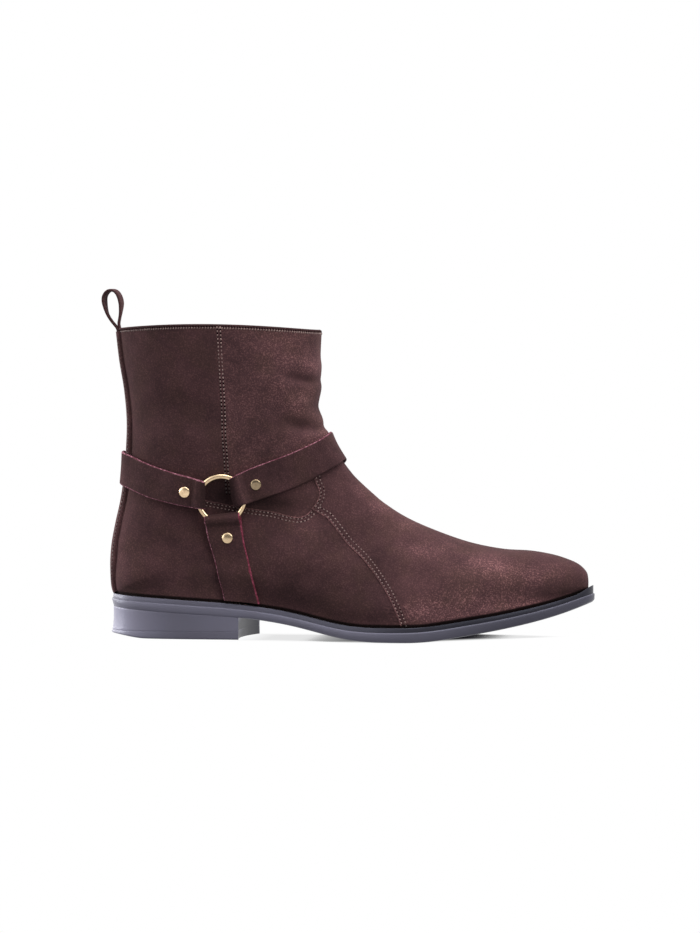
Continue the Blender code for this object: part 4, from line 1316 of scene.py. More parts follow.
def suede_tone(row, turn):
    """How light the suede is: each panel's nap was cut its own way, with painted shade along the welt line,
    beside the stay and under the quarter's edge, a darker rim at the collar, painted light and shade on the
    folds, and patches of nap tone with painted highlights and shade among them.
    """
    base = upper_point(row, turn)
    x = base[..., 0]
    z = base[..., 2]
    over_shaft = signed_distance(x, z, SHAFT_EDGE_LINE)
    on_vamp = signed_distance(x, z, VAMP_EDGE_LINE)
    ahead = ease(-1, 1, signed_distance(x, z, SHAFT_SEAM_LINE))
    shaft = ease(-TONE_BLEND, TONE_BLEND, over_shaft)
    vamp = ease(-TONE_BLEND, TONE_BLEND, on_vamp) * (1 - shaft)
    shaft_tone = PANEL_TONES["shaft_back"] + (PANEL_TONES["shaft_front"] - PANEL_TONES["shaft_back"]) * ahead
    tone = shaft * shaft_tone + vamp * PANEL_TONES["vamp"] + (1 - shaft - vamp) * PANEL_TONES["quarter"]
    tone = tone * (WELT_SHADE + (1 - WELT_SHADE) * ease(*WELT_SHADE_RUN, z - welt_z(x)))
    tone = tone * (COLLAR_SHADE + (1 - COLLAR_SHADE) * ease(*COLLAR_SHADE_ROWS, row))
    tone = tone * (1 + FOLD_LIGHT * np.clip(fold_height(x, z), *FOLD_LIGHT_HEIGHTS) * shaft)
    # Patches of nap tone, with painted highlights and painted shade among them.
    for at_x, at_z, half_length, half_height, gain in NAP_AND_PAINTED_LIGHT:
        tone = tone * (1 + gain * np.exp(-((x - at_x) / half_length) ** 2 - ((z - at_z) / half_height) ** 2))
    beside_stay = np.abs(base[..., 1]) - STAY_HALF_WIDTH - STAY_SHADE_WIDTH
    at_back = (np.abs(turn - 1.0) > STAY_TURNS) & (row < HEEL_ROW)
    tone = tone * (1 - STAY_SHADE * np.exp(-(beside_stay / STAY_SHADE_WIDTH) ** 2) * at_back)
    return tone * (1 - STEP_SHADE * np.exp(-((over_shaft - STEP_SHADE_AT) / STEP_SHADE_WIDTH) ** 2))


class BOOT_OT_upper(bpy.types.Operator):
    """Upper of brushed suede with its panels, seams and folds"""

    bl_idname = "boot.upper"
    bl_label = "Suede upper"

    def execute(self, context):
        face = shell_places(FACE_ROWS, FACE_COLUMNS)
        back = shell_places(BACK_ROWS, BACK_COLUMNS)
        piece = shell("upper_suede", face, back, None, SUEDE_THICK, SUEDE, sharp=60.0)
        hand_over(piece, "suede", "upper")
        return {"FINISHED"}


def traced(line):
    """Section rows and turns of a line of the side view, and how far each point of it misses the upper."""
    row, turn = side_place(*line.T)
    found = upper_point(row, turn)
    return row, turn, np.hypot(found[:, 0] - line[:, 0], found[:, 2] - line[:, 1])


def edge_strip(line, low, high, flip, side):
    """Cut edge of a panel along a line: from the panel below, over the edge, and back into its own panel."""
    _, turn, miss = traced(line)
    good = (miss < EDGE_MISS) & (turn < EDGE_END)
    line = line[np.argmax(good):len(good) - np.argmax(good[::-1])]
    left = -1.0 if flip else 1.0
    row, turn = side_place(*beside(line, -left * EDGE_TONE_OFFSET).T)
    own_tone = suede_tone(row, mirrored_turn(turn, side))
    points = []
    tones = []
    for offset, share, extra, gain in EDGE_PROFILE:
        row, turn = side_place(*beside(line, left * offset).T)
        turn = mirrored_turn(turn, side)
        height = low + (high - low) * share + extra
        points.append([upper_point(row, turn, EDGE_ROOT - height), upper_point(row, turn, -height)])
        # Painted shade beside the edge and the paler cut edge, from the profile's gains.
        tones.append(own_tone * gain)
    return np.stack(points, axis=1), np.stack(tones)


class BOOT_OT_panel_edges(bpy.types.Operator):
    """Cut edges of the quarter and the vamp where they lie over the panel below"""

    bl_idname = "boot.panel_edges"
    bl_label = "Panel edges"

    def execute(self, context):
        step = context.scene.boot_sizes.panel_step / MM
        points, faces, tones = [], [], []
        start = 0
        for side in SIDES.values():
            for table, low, high, flip in (
                (SHAFT_EDGE, -step, 0.0, False), (VAMP_EDGE, -QUARTER_UNDER * step, VAMP_OVER * step, True),
            ):
                grids, tone = edge_strip(polyline(table, 240), low, high, flip, side)
                points.append(grids.reshape(-1, 3))
                tones += [tone.ravel(), tone.ravel()]
                faces += sheet_faces(*tone.shape, start)
                start += 2 * tone.size
        points = np.concatenate(points)
        piece = add_piece("panel_edges", points, faces, [SUEDE], tone=np.concatenate(tones), sharp=70.0)
        hand_over(piece, "suede")
        return {"FINISHED"}


class BOOT_OT_lining(bpy.types.Operator):
    """Leather lining inside the upper, and the finish of the insole"""

    bl_idname = "boot.lining"
    bl_label = "Lining"

    def execute(self, context):
        places = shell_places(LINING_ROWS, LINING_COLUMNS)
        piece = shell("lining", places, places, SUEDE_THICK + LINING_GAP, WALL, LINING_LEATHER)
        hand_over(piece, "insole_leather")
        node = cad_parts["insole"]
        node.data.materials.clear()
        node.data.materials.append(finish_of(LINING_LEATHER))
        return {"FINISHED"}


def strap_places(rows, ends):
    """Section rows and turns of a strap's two edges, with the last row on the ridge or the back seam."""
    index = np.arange(len(rows), dtype=float)
    close = np.linspace(0.0, index[-1], (40 if ends is None else 4) * (len(rows) - 1) + 1)
    edge_x, edge_z, other_x, other_z = (smooth(index, rows[:, i], close) for i in range(4))
    edge_row, edge_turn = side_place(edge_x, edge_z)
    other_row, other_turn = side_place(other_x, other_z)
    if ends is not None:
        close = np.append(close, close[-1] + 1.0)
        edge_row = np.append(edge_row, ends[0])
        other_row = np.append(other_row, ends[1])
        edge_turn = np.append(edge_turn, ends[2])
        other_turn = np.append(other_turn, ends[2])
    return close, (edge_row, edge_turn, other_row, other_turn)


def strap_way(rows, ends):
    """Length of half a strap, and the places of its two edges at any distance from its fold."""
    index, columns = strap_places(rows, ends)
    fine = np.linspace(0.0, index[-1], 500)
    values = [smooth(index, column, fine) for column in columns]
    middle = upper_point((values[0] + values[2]) / 2, (values[1] + values[3]) / 2)
    run = distance_along(middle)

    def at(distance):
        before = np.minimum(distance, 0.0)
        return [np.interp(distance, run, value) + before * (value[9] - value[0]) / run[9] for value in values]

    return run[-1], at


def folded_strap(length, lift, slack=0.0):
    """Middle line of half a strap: its tail, back round the ring's wire, and along to its end."""
    around = np.linspace(-math.pi / 2, -3 * math.pi / 2, 15)
    reach = WIRE_RADIUS + WIRE_CLEARANCE + STRAP_THICK / 2
    tail = np.linspace(FOLD_TAIL, FOLD_CLOSE, 6)
    fall = np.linspace(FOLD_WIRE, FOLD_CLOSE, 9)[1:]
    drop = RING_STAND_OFF + reach - FOLD_OVER
    double = np.linspace(FOLD_CLOSE, FOLD_TAIL, 7)[1:]
    settle = np.linspace(FOLD_TAIL, FOLD_END, 7)[1:]
    single = np.linspace(FOLD_END, length, max(3, int((length - FOLD_END) / STRAP_PITCH)))[1:]
    distance = [tail, FOLD_WIRE + (reach + slack) * np.cos(around), fall, double, settle, single]
    height = [
        np.full(len(tail), FOLD_UNDER),
        RING_STAND_OFF + reach * np.sin(around),
        RING_STAND_OFF + reach - drop * ease(FOLD_WIRE - 0.6, FOLD_CLOSE, fall),
        np.full(len(double), FOLD_OVER),
        FOLD_OVER + (FOLD_SINGLE - FOLD_OVER) * ease(FOLD_TAIL, FOLD_END, settle),
        FOLD_SINGLE + 0 * single,
    ]
    distance = np.concatenate(distance)
    height = np.concatenate(height)
    return distance, height + lift(length - distance)


def strap_piece(name, ways, edges, edge_lift=0.0):
    """Strap from one or two folded halves, its cut edges finished by name, with a painted highlight on the
    fold's crown and painted shade inside the fold and close to the upper.
    """
    shares, round_off = STRAP_SECTION.T
    grids = []
    tones = []
    for (distance, height, at, total), flipped in ways:
        along_d = np.gradient(distance)
        along_h = np.gradient(height)
        length = np.hypot(along_d, along_h)
        for sign in (-1.0, 1.0):
            off = sign * STRAP_THICK / 2 * round_off[None, :]
            off_d = distance[:, None] - (along_h / length)[:, None] * off
            off_h = height[:, None] + (along_d / length)[:, None] * off
            rise = off_h + edge_lift * (1 - shares)[None, :] * ease(*EDGE_STAND_RUN, total - off_d)
            edge_row, edge_turn, other_row, other_turn = at(np.minimum(off_d, total))
            row = edge_row + (other_row - edge_row) * shares
            turn = edge_turn + (other_turn - edge_turn) * shares
            turn = 2.0 - turn if flipped else turn
            sideways = np.maximum(rise - FOLD_SINGLE, 0.0) * ease(FOLD_END + FOLD_SETTLE, FOLD_END, off_d)
            points = upper_point(row, turn, -(rise - sideways))
            points[..., 1] += sideways if flipped else -sideways
            grids.append(points)
            # Painted highlight on the fold's crown, painted shade inside the fold and close to the upper.
            tone_gain = 1 + FOLD_CROWN_LIGHT * np.exp(-((off_d - FOLD_WIRE - FOLD_CROWN_LIGHT_AT) / FOLD_CROWN_LIGHT_WIDTH) ** 2)
            tone_gain = tone_gain - FOLD_SHADE * ease(*FOLD_SHADE_RUN, off_d)
            tones.append(PANEL_TONES["strap"] * tone_gain * (1 - UNDER_SHADE * ease(*UNDER_SHADE_RUN, off_h)))
    if len(ways) > 1:
        grids = [np.concatenate([grids[i][:-1], grids[i + 2][::-1]]) for i in (0, 1)]
        tones = [np.concatenate([tones[i][:-1], tones[i + 2][::-1]]) for i in (0, 1)]
    rows, columns, _ = grids[0].shape
    cells = np.zeros((2, rows - 1, columns - 1), int)
    cells[:, :, :2] = 1
    cells[:, :, -2:] = 2
    slots = cells.ravel().tolist() + [1] * (rows - 1) + [2] * (rows - 1) + [0] * (2 * columns - 2)
    return add_piece(
        name, np.concatenate(grids).reshape(-1, 3), sheet_faces(rows, columns), [SUEDE, *edges],
        face_slots=slots, tone=np.concatenate(tones).ravel(), sharp=55.0,
    )


def back_lift(run):
    """How far the back strap stands over the stay, by its distance from the back seam."""
    return BACK_LIFT * (1 - ease(BACK_LIFT_FULL, BACK_LIFT_START, run))


def front_lift(run):
    """How far the front strap stands off the ridge, by its distance from it."""
    return FRONT_LIFT * (1 - ease(0.0, FRONT_LIFT_RUN, run))


def no_lift(run):
    """A strap that lies flat all along."""
    return 0.0 * run


def wrapped_strap(node, rows, ends, lift, slack, edges, edge_lift):
    """Strap from ring to ring, alike on both sides of the boot."""
    total, at = strap_way(rows, ends)
    half = (*folded_strap(total, lift, slack), at, total)
    piece = strap_piece(node + "_suede", [(half, False), (half, True)], edges, edge_lift)
    hand_over(piece, "strap_suede", node)


class BOOT_OT_straps(bpy.types.Operator):
    """Harness straps folded round the rings, with raw crimson edges"""

    bl_idname = "boot.straps"
    bl_label = "Harness straps"

    def execute(self, context):
        ends = (row_at_height("back_z", BACK_STRAP_TOP), row_at_height("back_z", BACK_STRAP_LOW), 0.0)
        edges = (LIT_EDGE, LIT_EDGE)
        wrapped_strap("strap_back", BACK_STRAP, ends, back_lift, BACK_SLACK, edges, BACK_EDGE_STAND)
        ends = (row_at_height("front_z", FRONT_STRAP_TOP), row_at_height("front_z", FRONT_STRAP_LOW), 1.0)
        # The front strap's lower edge takes the suede, a painted shade where that edge lies in shadow.
        edges = (LIT_EDGE, SUEDE)
        wrapped_strap("strap_front", FRONT_STRAP, ends, front_lift, FRONT_SLACK, edges, FRONT_EDGE_STAND)
        total, at = strap_way(DOWN_STRAP, None)
        half = (*folded_strap(total, no_lift), at, total)
        for name, side in SIDES.items():
            piece = strap_piece("strap_down_suede_" + name, [(half, side > 0)], (LIT_EDGE, CRIMSON_EDGE))
            hand_over(piece, "strap_suede", "strap_down_" + name)
        return {"FINISHED"}


class BOOT_OT_stay_and_loop(bpy.types.Operator):
    """Strip over the back seam, and the pull loop that stands on the collar"""

    bl_idname = "boot.stay_and_loop"
    bl_label = "Back stay and pull loop"

    def execute(self, context):
        hand_over(back_stay(), "suede", "back_stay")
        hand_over(pull_loop(), "suede", "pull_loop")
        return {"FINISHED"}


def both_halves(section):
    """Shares of the width from edge to edge, and of the thickness, from half a section."""
    shares, full = np.array(section).T
    return np.concatenate([-shares[:0:-1], shares]), np.concatenate([full[:0:-1], full])


def strip(name, low, high, tone):
    """Closed strip of suede between two grids of points."""
    points = np.concatenate([low.reshape(-1, 3), high.reshape(-1, 3)])
    faces = sheet_faces(*low.shape[:2])
    return add_piece(name, points, faces, [SUEDE], tone=np.full(len(points), tone), sharp=55.0)


def stay_turn(row, width):
    """Turn of the upper at a sideways distance from the back seam."""
    fine = np.linspace(0.0, 0.45, 200)
    return np.array([np.interp(width, -upper_point(r, fine)[:, 1], fine) for r in row])


def back_stay():
    """Strip over the back seam, with rounded edges."""
    rows = np.linspace(0.06, HEEL_ROW - 0.02, STAY_STATIONS)
    turns = stay_turn(rows, STAY_HALF_WIDTH)
    shares, full = both_halves(STAY_SECTION)
    row = np.repeat(rows[:, None], len(shares), axis=1)
    turn = -turns[:, None] * shares
    low = upper_point(row, turn, -0.05)
    high = upper_point(row, turn, -(GAP + STAY_THICK) * full[None, :])
    return strip("back_stay_suede", low, high, PANEL_TONES["stay"])


def pull_loop():
    """Strip folded into a loop, which stands on the back of the collar and twists a little below its head."""
    steps = np.linspace(0.0, len(LOOP) - 1.0, LOOP_STATIONS)
    index = np.arange(len(LOOP), dtype=float)
    x = smooth(index, LOOP[:, 0], steps)
    z = smooth(index, LOOP[:, 1], steps)
    along_x = np.gradient(x)
    along_z = np.gradient(z)
    length = np.hypot(along_x, along_z)
    shares, full = both_halves(LOOP_SECTION)
    sheets = []
    for sign in (-1.0, 1.0):
        off = sign * LOOP_THICK / 2 * full[None, :]
        sheet_x = x[:, None] + (along_z / length)[:, None] * off
        sheet_z = z[:, None] - (along_x / length)[:, None] * off
        sheet_y = LOOP_HALF_WIDTH * shares[None, :] + 0 * sheet_x
        sheet_x = sheet_x - LOOP_TWIST * sheet_y * (1 - ease(*LOOP_TWIST_Z, z))[:, None]
        sheets.append(np.stack([sheet_x, sheet_y, sheet_z], axis=-1))
    return strip("pull_loop_suede", sheets[0], sheets[1], PANEL_TONES["loop"])


def ring_frame(side):
    """Centre and axes of a ring: the plane at one height off the upper under its three straps."""
    places = [(RING_X - RING_RADIUS, RING_Z), (RING_X + RING_RADIUS, RING_Z), (RING_X, RING_Z - RING_RADIUS)]
    row, turn = side_place([x for x, _ in places], [z for _, z in places])
    turn = mirrored_turn(turn, side)
    seats = upper_point(row, turn) + upper_normal(row, turn) * RING_STAND_OFF
    centre = (seats[0] + seats[1]) / 2
    along = seats[1] - seats[0]
    along /= np.linalg.norm(along)
    down = seats[2] - centre
    down -= along * down.dot(along)
    down /= np.linalg.norm(down)
    return centre, along, -down


class BOOT_OT_rings(bpy.types.Operator):
    """Brass rings that join the straps"""

    bl_idname = "boot.rings"
    bl_label = "Rings"

    def execute(self, context):
        around = np.linspace(0.0, 2 * math.pi, RING_STEPS)
        through = np.linspace(0.0, 2 * math.pi, WIRE_STEPS)
        angle, bend = np.meshgrid(around, through, indexing="ij")
        for name, side in SIDES.items():
            centre, along, up = ring_frame(side)
            out = np.cross(along, up)
            spoke = np.cos(angle)[..., None] * along + np.sin(angle)[..., None] * up
            reach = RING_RADIUS + WIRE_RADIUS * np.cos(bend)
            points = centre + spoke * reach[..., None] + out * (WIRE_RADIUS * np.sin(bend))[..., None]
            faces = grid_faces(*angle.shape)
            piece = add_piece("ring_brass_" + name, points.reshape(-1, 3), faces, [BRASS])
            hand_over(piece, "brass", "ring_" + name)
        return {"FINISHED"}


def scatter_tree(name):
    """Node tree that sets a pattern piece on every point, along its tangent and out from its normal."""
    tree = bpy.data.node_groups.new(name, "GeometryNodeTree")
    tree.interface.new_socket("Points", in_out="INPUT", socket_type="NodeSocketGeometry")
    tree.interface.new_socket("Pattern", in_out="INPUT", socket_type="NodeSocketObject")
    tree.interface.new_socket("Size", in_out="INPUT", socket_type="NodeSocketVector")
    tree.interface.new_socket("Finish", in_out="INPUT", socket_type="NodeSocketMaterial")
    tree.interface.new_socket("Pieces", in_out="OUTPUT", socket_type="NodeSocketGeometry")
    given = add_node(tree, "NodeGroupInput")
    tangent, normal = (
        add_node(tree, "GeometryNodeInputNamedAttribute", {"Name": key}, data_type="FLOAT_VECTOR")
        for key in ("tangent", "normal_out")
    )
    turned = add_node(tree, "FunctionNodeAxesToRotation", {
        "Primary Axis": normal.outputs["Attribute"], "Secondary Axis": tangent.outputs["Attribute"],
    }, primary_axis="Z", secondary_axis="X")
    pattern = add_node(tree, "GeometryNodeObjectInfo", {
        "Object": given.outputs["Pattern"], "As Instance": True,
    })
    set_out = add_node(tree, "GeometryNodeInstanceOnPoints", {
        "Points": given.outputs["Points"], "Instance": pattern.outputs["Geometry"],
        "Rotation": turned.outputs["Rotation"], "Scale": given.outputs["Size"],
    })
    real = add_node(tree, "GeometryNodeRealizeInstances", {"Geometry": set_out.outputs["Instances"]})
    painted = add_node(tree, "GeometryNodeSetMaterial", {
        "Geometry": real.outputs["Geometry"], "Material": given.outputs["Finish"],
    })
    add_node(tree, "NodeGroupOutput", {"Pieces": painted.outputs["Geometry"]})
    return tree


def scatter(name, tree, points, tangents, normals, pattern, size, finish):
    """Sets the pattern on the points with the node tree, and keeps the result as a plain mesh."""
    mesh = bpy.data.meshes.new(name + "_points")
    mesh.from_pydata(place(points).tolist(), [], [])
    for key, vectors in (("tangent", tangents), ("normal_out", normals)):
        layer = mesh.attributes.new(key, "FLOAT_VECTOR", "POINT")
        layer.data.foreach_set("vector", np.asarray(vectors, np.float32).ravel())
    carrier = bpy.data.objects.new(name + "_points", mesh)
    bpy.context.scene.collection.objects.link(carrier)
    modifier = carrier.modifiers.new("scatter", "NODES")
    modifier.node_group = tree
    values = {"Pattern": pattern, "Size": size, "Finish": finish_of(finish)}
    for item in tree.interface.items_tree:
        if item.item_type == "SOCKET" and item.in_out == "INPUT" and item.name in values:
            modifier[item.identifier] = values[item.name]
    bpy.context.view_layer.update()
    graph = bpy.context.evaluated_depsgraph_get()
    made_mesh = bpy.data.meshes.new_from_object(carrier.evaluated_get(graph))
    made_mesh.name = name
    made = bpy.data.objects.new(name, made_mesh)
    bpy.context.scene.collection.objects.link(made)
    bpy.data.objects.remove(carrier)
    if not made_mesh.polygons:
        raise RuntimeError(name + " came out empty")
    made_mesh.polygons.foreach_set("use_smooth", np.ones(len(made_mesh.polygons), bool))
    made_mesh.set_sharp_from_angle(angle=math.radians(50.0))
    return made


def set_tones(piece, tones):
    """Gives each set-out piece its own tone."""
    mesh = piece.data
    layer = mesh.attributes.new("tone", "FLOAT", "POINT")
    layer.data.foreach_set("value", np.repeat(tones, len(mesh.vertices) // len(tones)).astype(np.float32))


def lathe(name, profile, steps):
    """Unlinked pattern piece turned round Z from radii and heights."""
    points = []
    for radius, height in profile[:-1]:
        for i in range(steps):
            angle = 2 * math.pi * i / steps
            points.append((radius * math.cos(angle) * MM, radius * math.sin(angle) * MM, height * MM))
    points.append((0.0, 0.0, profile[-1][1] * MM))
    faces = [tuple(range(steps))[::-1]] + tube_faces(len(profile) - 1, steps)
    last = (len(profile) - 2) * steps
    faces += [(last + i, last + (i + 1) % steps, len(points) - 1) for i in range(steps)]
    mesh = bpy.data.meshes.new(name)
    mesh.from_pydata(points, [], faces)
    return bpy.data.objects.new(name, mesh)


class BOOT_OT_rivets(bpy.types.Operator):
    """Brass rivets that hold the folded strap ends"""

    bl_idname = "boot.rivets"
    bl_label = "Rivets"

    def execute(self, context):
        pattern = lathe("rivet_pattern", RIVET_PROFILE, RIVET_STEPS)
        seats, tangents, normals, nodes = [], [], [], []
        for strap, (x, z) in RIVETS.items():
            for name, side in SIDES.items():
                row, turn = side_place([x], [z])
                turn = mirrored_turn(turn, side)
                normal = upper_normal(row, turn)[0]
                seats.append(upper_point(row, turn, -RIVET_SEAT)[0])
                normals.append(normal)
                tangents.append(np.cross((0.0, 0.0, 1.0), normal))
                nodes.append("rivet_" + strap + "_" + name)
        piece = scatter(
            "rivets_brass", scatter_tree("rivet scatter"), seats, tangents, normals, pattern,
            (1.0, 1.0, 1.0), BRASS,
        )
        bpy.data.objects.remove(pattern)
        # Each rivet's tone is painted light: lighter on the back rivet, darker on the front one.
        set_tones(piece, np.repeat([RIVET_TONES[strap] for strap in RIVETS], len(SIDES)))
        hand_over(piece, "brass", *nodes)
        return {"FINISHED"}


def stitch_pattern():
    """One stitch along X, a unit long and wide: a bowed capsule with its ends drawn into the suede."""
    points = []
    for x, width, height in STITCH_SECTIONS:
        for i in range(STITCH_SIDES):
            angle = 2 * math.pi * i / STITCH_SIDES
            points.append((x, 0.5 * width * math.cos(angle), 0.5 * width * math.sin(angle) + height))
    faces = [tuple(range(STITCH_SIDES))[::-1], tuple(range(len(points) - STITCH_SIDES, len(points)))]
    faces += tube_faces(len(STITCH_SECTIONS), STITCH_SIDES)
    mesh = bpy.data.meshes.new("stitch_pattern")
    mesh.from_pydata(points, [], faces)
    return bpy.data.objects.new("stitch_pattern", mesh)


def beside(line, offset):
    """A line of the side view moved to its left by an offset."""
    along = np.gradient(line, axis=0)
    along /= np.linalg.norm(along, axis=1, keepdims=True)
    return line + np.stack([-along[:, 1], along[:, 0]], axis=-1) * offset


def spaced(points, pitch):
    """Evenly spaced points along a line in space, with their directions."""
    run = distance_along(points)
    wanted = np.arange(pitch / 2, run[-1], pitch)
    found = np.stack([np.interp(wanted, run, points[:, i]) for i in range(points.shape[1])], axis=-1)
    return wanted, run, found


def stitch_rows():
    """Every row of stitches: rows and turns, height if not the upper's, share of the pitch, slant, tones."""
    rows = []
    for side in SIDES.values():
        seam = SHAFT_SEAM_LINE[SHAFT_SEAM_LINE[:, 1] > SEAM_STITCH_LOW]
        seam_rows = [(beside(seam, offset), SEAM_LIGHT) for offset in (-SIDE_ROW, SIDE_ROW)]
        seam_rows += [(beside(SHAFT_EDGE_LINE, -offset), EDGE_LIGHT) for offset in SHAFT_EDGE_ROWS]
        seam_rows += [(beside(VAMP_EDGE_LINE, offset)[2:], EDGE_LIGHT) for offset in VAMP_EDGE_ROWS]
        for line, light in seam_rows:
            row, turn, miss = traced(line)
            inside = (turn > STITCH_TURNS[0]) & (turn < STITCH_TURNS[1])
            inside &= (miss < STITCH_MISS) & (line[:, 1] < STITCH_TOP)
            rows.append((row[inside], mirrored_turn(turn[inside], side), None, 1.0, 0.0, light))
        stay = np.linspace(0.25, HEEL_ROW - 0.5, 240)
        turn = stay_turn(stay, STAY_HALF_WIDTH - STAY_ROW)
        rows.append((stay, mirrored_turn(turn, side), GAP + STAY_THICK, 1.0, 0.0, STAY_LIGHT))
    collar = np.linspace(0.0, 2.0, 400)
    slant = math.radians(COLLAR_SLANT)
    rows.append((0 * collar + COLLAR_STITCH_ROW, collar, None, COLLAR_PITCH_SHARE, slant, COLLAR_LIGHT))
    return rows


class BOOT_OT_stitches(bpy.types.Operator):
    """Rows of stitches along the seams, the stay and the collar"""

    bl_idname = "boot.stitches"
    bl_label = "Stitches"

    def execute(self, context):
        sizes = context.scene.boot_sizes
        pitch = sizes.stitch_pitch / MM
        seats, tangents, normals, tones = [], [], [], []
        for row, turn, height, share, slant, light in stitch_rows():
            points = upper_face(row, turn) if height is None else upper_point(row, turn, -height)
            wanted, run, found = spaced(points, pitch * share)
            row_at = np.interp(wanted, run, row)
            turn_at = np.interp(wanted, run, turn)
            ahead = np.stack([np.interp(wanted + 0.4, run, points[:, i]) for i in range(3)], axis=-1)
            behind = np.stack([np.interp(wanted - 0.4, run, points[:, i]) for i in range(3)], axis=-1)
            along = ahead - behind
            along /= np.linalg.norm(along, axis=1, keepdims=True)
            normal = upper_normal(row_at, turn_at)
            seats.append(found)
            tangents.append(along * math.cos(slant) + np.cross(normal, along) * math.sin(slant))
            normals.append(normal)
            tone_gain = light[0] + (light[1] - light[0]) * ease(*LIGHT_HEIGHTS, found[:, 2])
            # The thread takes the tone of the suede beside it, painted shade and painted highlights included.
            tones.append(np.clip(suede_tone(row_at + 0.1, turn_at), *THREAD_TONES) * tone_gain)
        tree = scatter_tree("stitch scatter")
        seats, tangents, normals, tones = (np.concatenate(part) for part in (seats, tangents, normals, tones))
        thread = sizes.thread_width
        pattern = stitch_pattern()
        piece = scatter(
            "stitches", tree, seats, tangents, normals, pattern, (sizes.stitch_length, thread, thread),
            THREAD,
        )
        set_tones(piece, tones)
        hand_over(piece, "suede")
        bpy.data.objects.remove(pattern)
        pattern = lathe("hole_pattern", HOLE_PROFILE, HOLE_STEPS)
        piece = scatter(
            "needle_holes", tree, seats + tangents * pitch / 2, tangents, normals, pattern, (1.0, 1.0, 1.0),
            NEEDLE_HOLE,
        )
        hand_over(piece, "suede")
        bpy.data.objects.remove(pattern)
        return {"FINISHED"}


def bulge(x):
    """Share of the bulge at the very back of the sole, which dies away forward."""
    return np.exp(-np.asarray(x, float) / BULGE_RUN)


def welt_edge(x):
    """Margin of the welt's edge, which stands past the sole's outline."""
    return -WELT_OVERHANG - WELT_HEEL_NUB * bulge(x)


def flowing(height, x):
    """A height along the sole with its corners eased over a few millimetres."""
    x = np.asarray(x, float)
    reach = FLOW_REACH * ease(SOLE_LENGTH, SOLE_LENGTH - FLOW_ENDS, x) * ease(0.0, FLOW_ENDS, x)
    return sum(height(x + reach * share) for share in np.linspace(-1.0, 1.0, 9)) / 9


def rim_z(x):
    """Upper face of the welt."""
    return flowing(welt_z, x)


def floor_side_z(x):
    """Tread of the outsole."""
    return flowing(tread_z, x)


def lip_z(x):
    """Top of the welt's lip, which rises round the toe."""
    return rim_z(x) + LIP_HEIGHT * ease(LIP_START, SOLE_LENGTH, x) ** 1.5


def welt_low_z(x):
    """Underside of the welt."""
    return rim_z(x) - WELT_THICK


def heel_part(x):
    """One over the heel, none ahead of it."""
    return ease(HEEL_FRONT + HEEL_CHANGE[0], HEEL_FRONT + HEEL_CHANGE[1], x)


def lift_z(x):
    """Top of the top lift."""
    return LIFT_BACK + (LIFT_FRONT - LIFT_BACK) * np.asarray(x, float) / HEEL_FRONT


def heel_z(x, share):
    """Height of a level of the heel, at a share of the way up from the top lift to the outsole."""
    return lift_z(x) + LAYER_GAP + (floor_side_z(x) - 2 * LAYER_GAP - lift_z(x)) * share


def worn_z(x):
    """How far the back of the top lift is worn off the floor."""
    return HEEL_WEAR * ease(HEEL_WEAR_RUN, 0.0, x)


def lift_side_z(x, share, rise):
    """Height of a level of the top lift, whose lower levels are worn at the back."""
    return lift_z(x) * share + rise + (1 - share) * worn_z(x)


def over(line, rise):
    """A height along the sole, moved up."""
    return lambda x: line(x) + rise


def inside_welt(margin):
    """A margin counted from the welt's edge."""
    return lambda x: welt_edge(x) + margin


def tread_level(margin, heel_margin, back, rise, heel_rise):
    """Margin and height of a level of the outsole's lower edge, which is sharper where it meets the heel."""
    return (
        lambda x: margin - heel_margin * heel_part(x) - back * bulge(x),
        lambda x: floor_side_z(x) + rise - heel_rise * heel_part(x),
    )


def sole_loop(stations):
    """Turns once round the sole, from the back along the outer side to the toe and back."""
    turns = np.linspace(0.0, 1.0, stations + 1)
    return np.concatenate([turns, 2.0 - turns[-2:0:-1]])


def stacked(name, rings, cap, tones, ribbed=False):
    """Rubber solid from rings of points stacked down to its lower face, which may be ribbed."""
    count = len(rings[0])
    faces = tube_faces(len(rings), count)
    slots = [0] * len(faces)
    for level, slot in ((0, 0), (len(rings) - 1, int(ribbed))):
        made = cap(level * count, count)
        faces += made
        slots += [slot] * len(made)
    return add_piece(
        name, np.concatenate(rings), faces, [RUBBER, TREAD_RUBBER], face_slots=slots, tone=tones, sharp=50.0,
    )


def plate_cap(start, count):
    """Faces across a sole's face, from its outer edge to its inner edge."""
    half = count // 2
    faces = [(start + i, start + i + 1, start + count - i - 1, start + count - i) for i in range(1, half - 1)]
    return faces + [(start, start + 1, start + count - 1), (start + half - 1, start + half, start + half + 1)]


def heel_cap(start, count):
    """One face across the heel."""
    return [tuple(range(start, start + count))]


def sole_plate(name, levels, tone_table, ribbed=False, ledge=()):
    """Plate of the sole from margins and heights, downward, with a painted highlight on the levels of a
    ledge.
    """
    loop = sole_loop(SOLE_STATIONS)
    rings = []
    tones = []
    for number, (margin, height) in enumerate(levels):
        x, y = outline(loop, margin)
        rings.append(np.stack([x, y, height(x)], axis=-1))
        tone = smooth(*tone_table.T, x)
        tones.append(tone * smooth(*LEDGE_GAIN.T, x) if number in ledge else tone)
    return stacked(name, rings, plate_cap, np.concatenate(tones), ribbed)


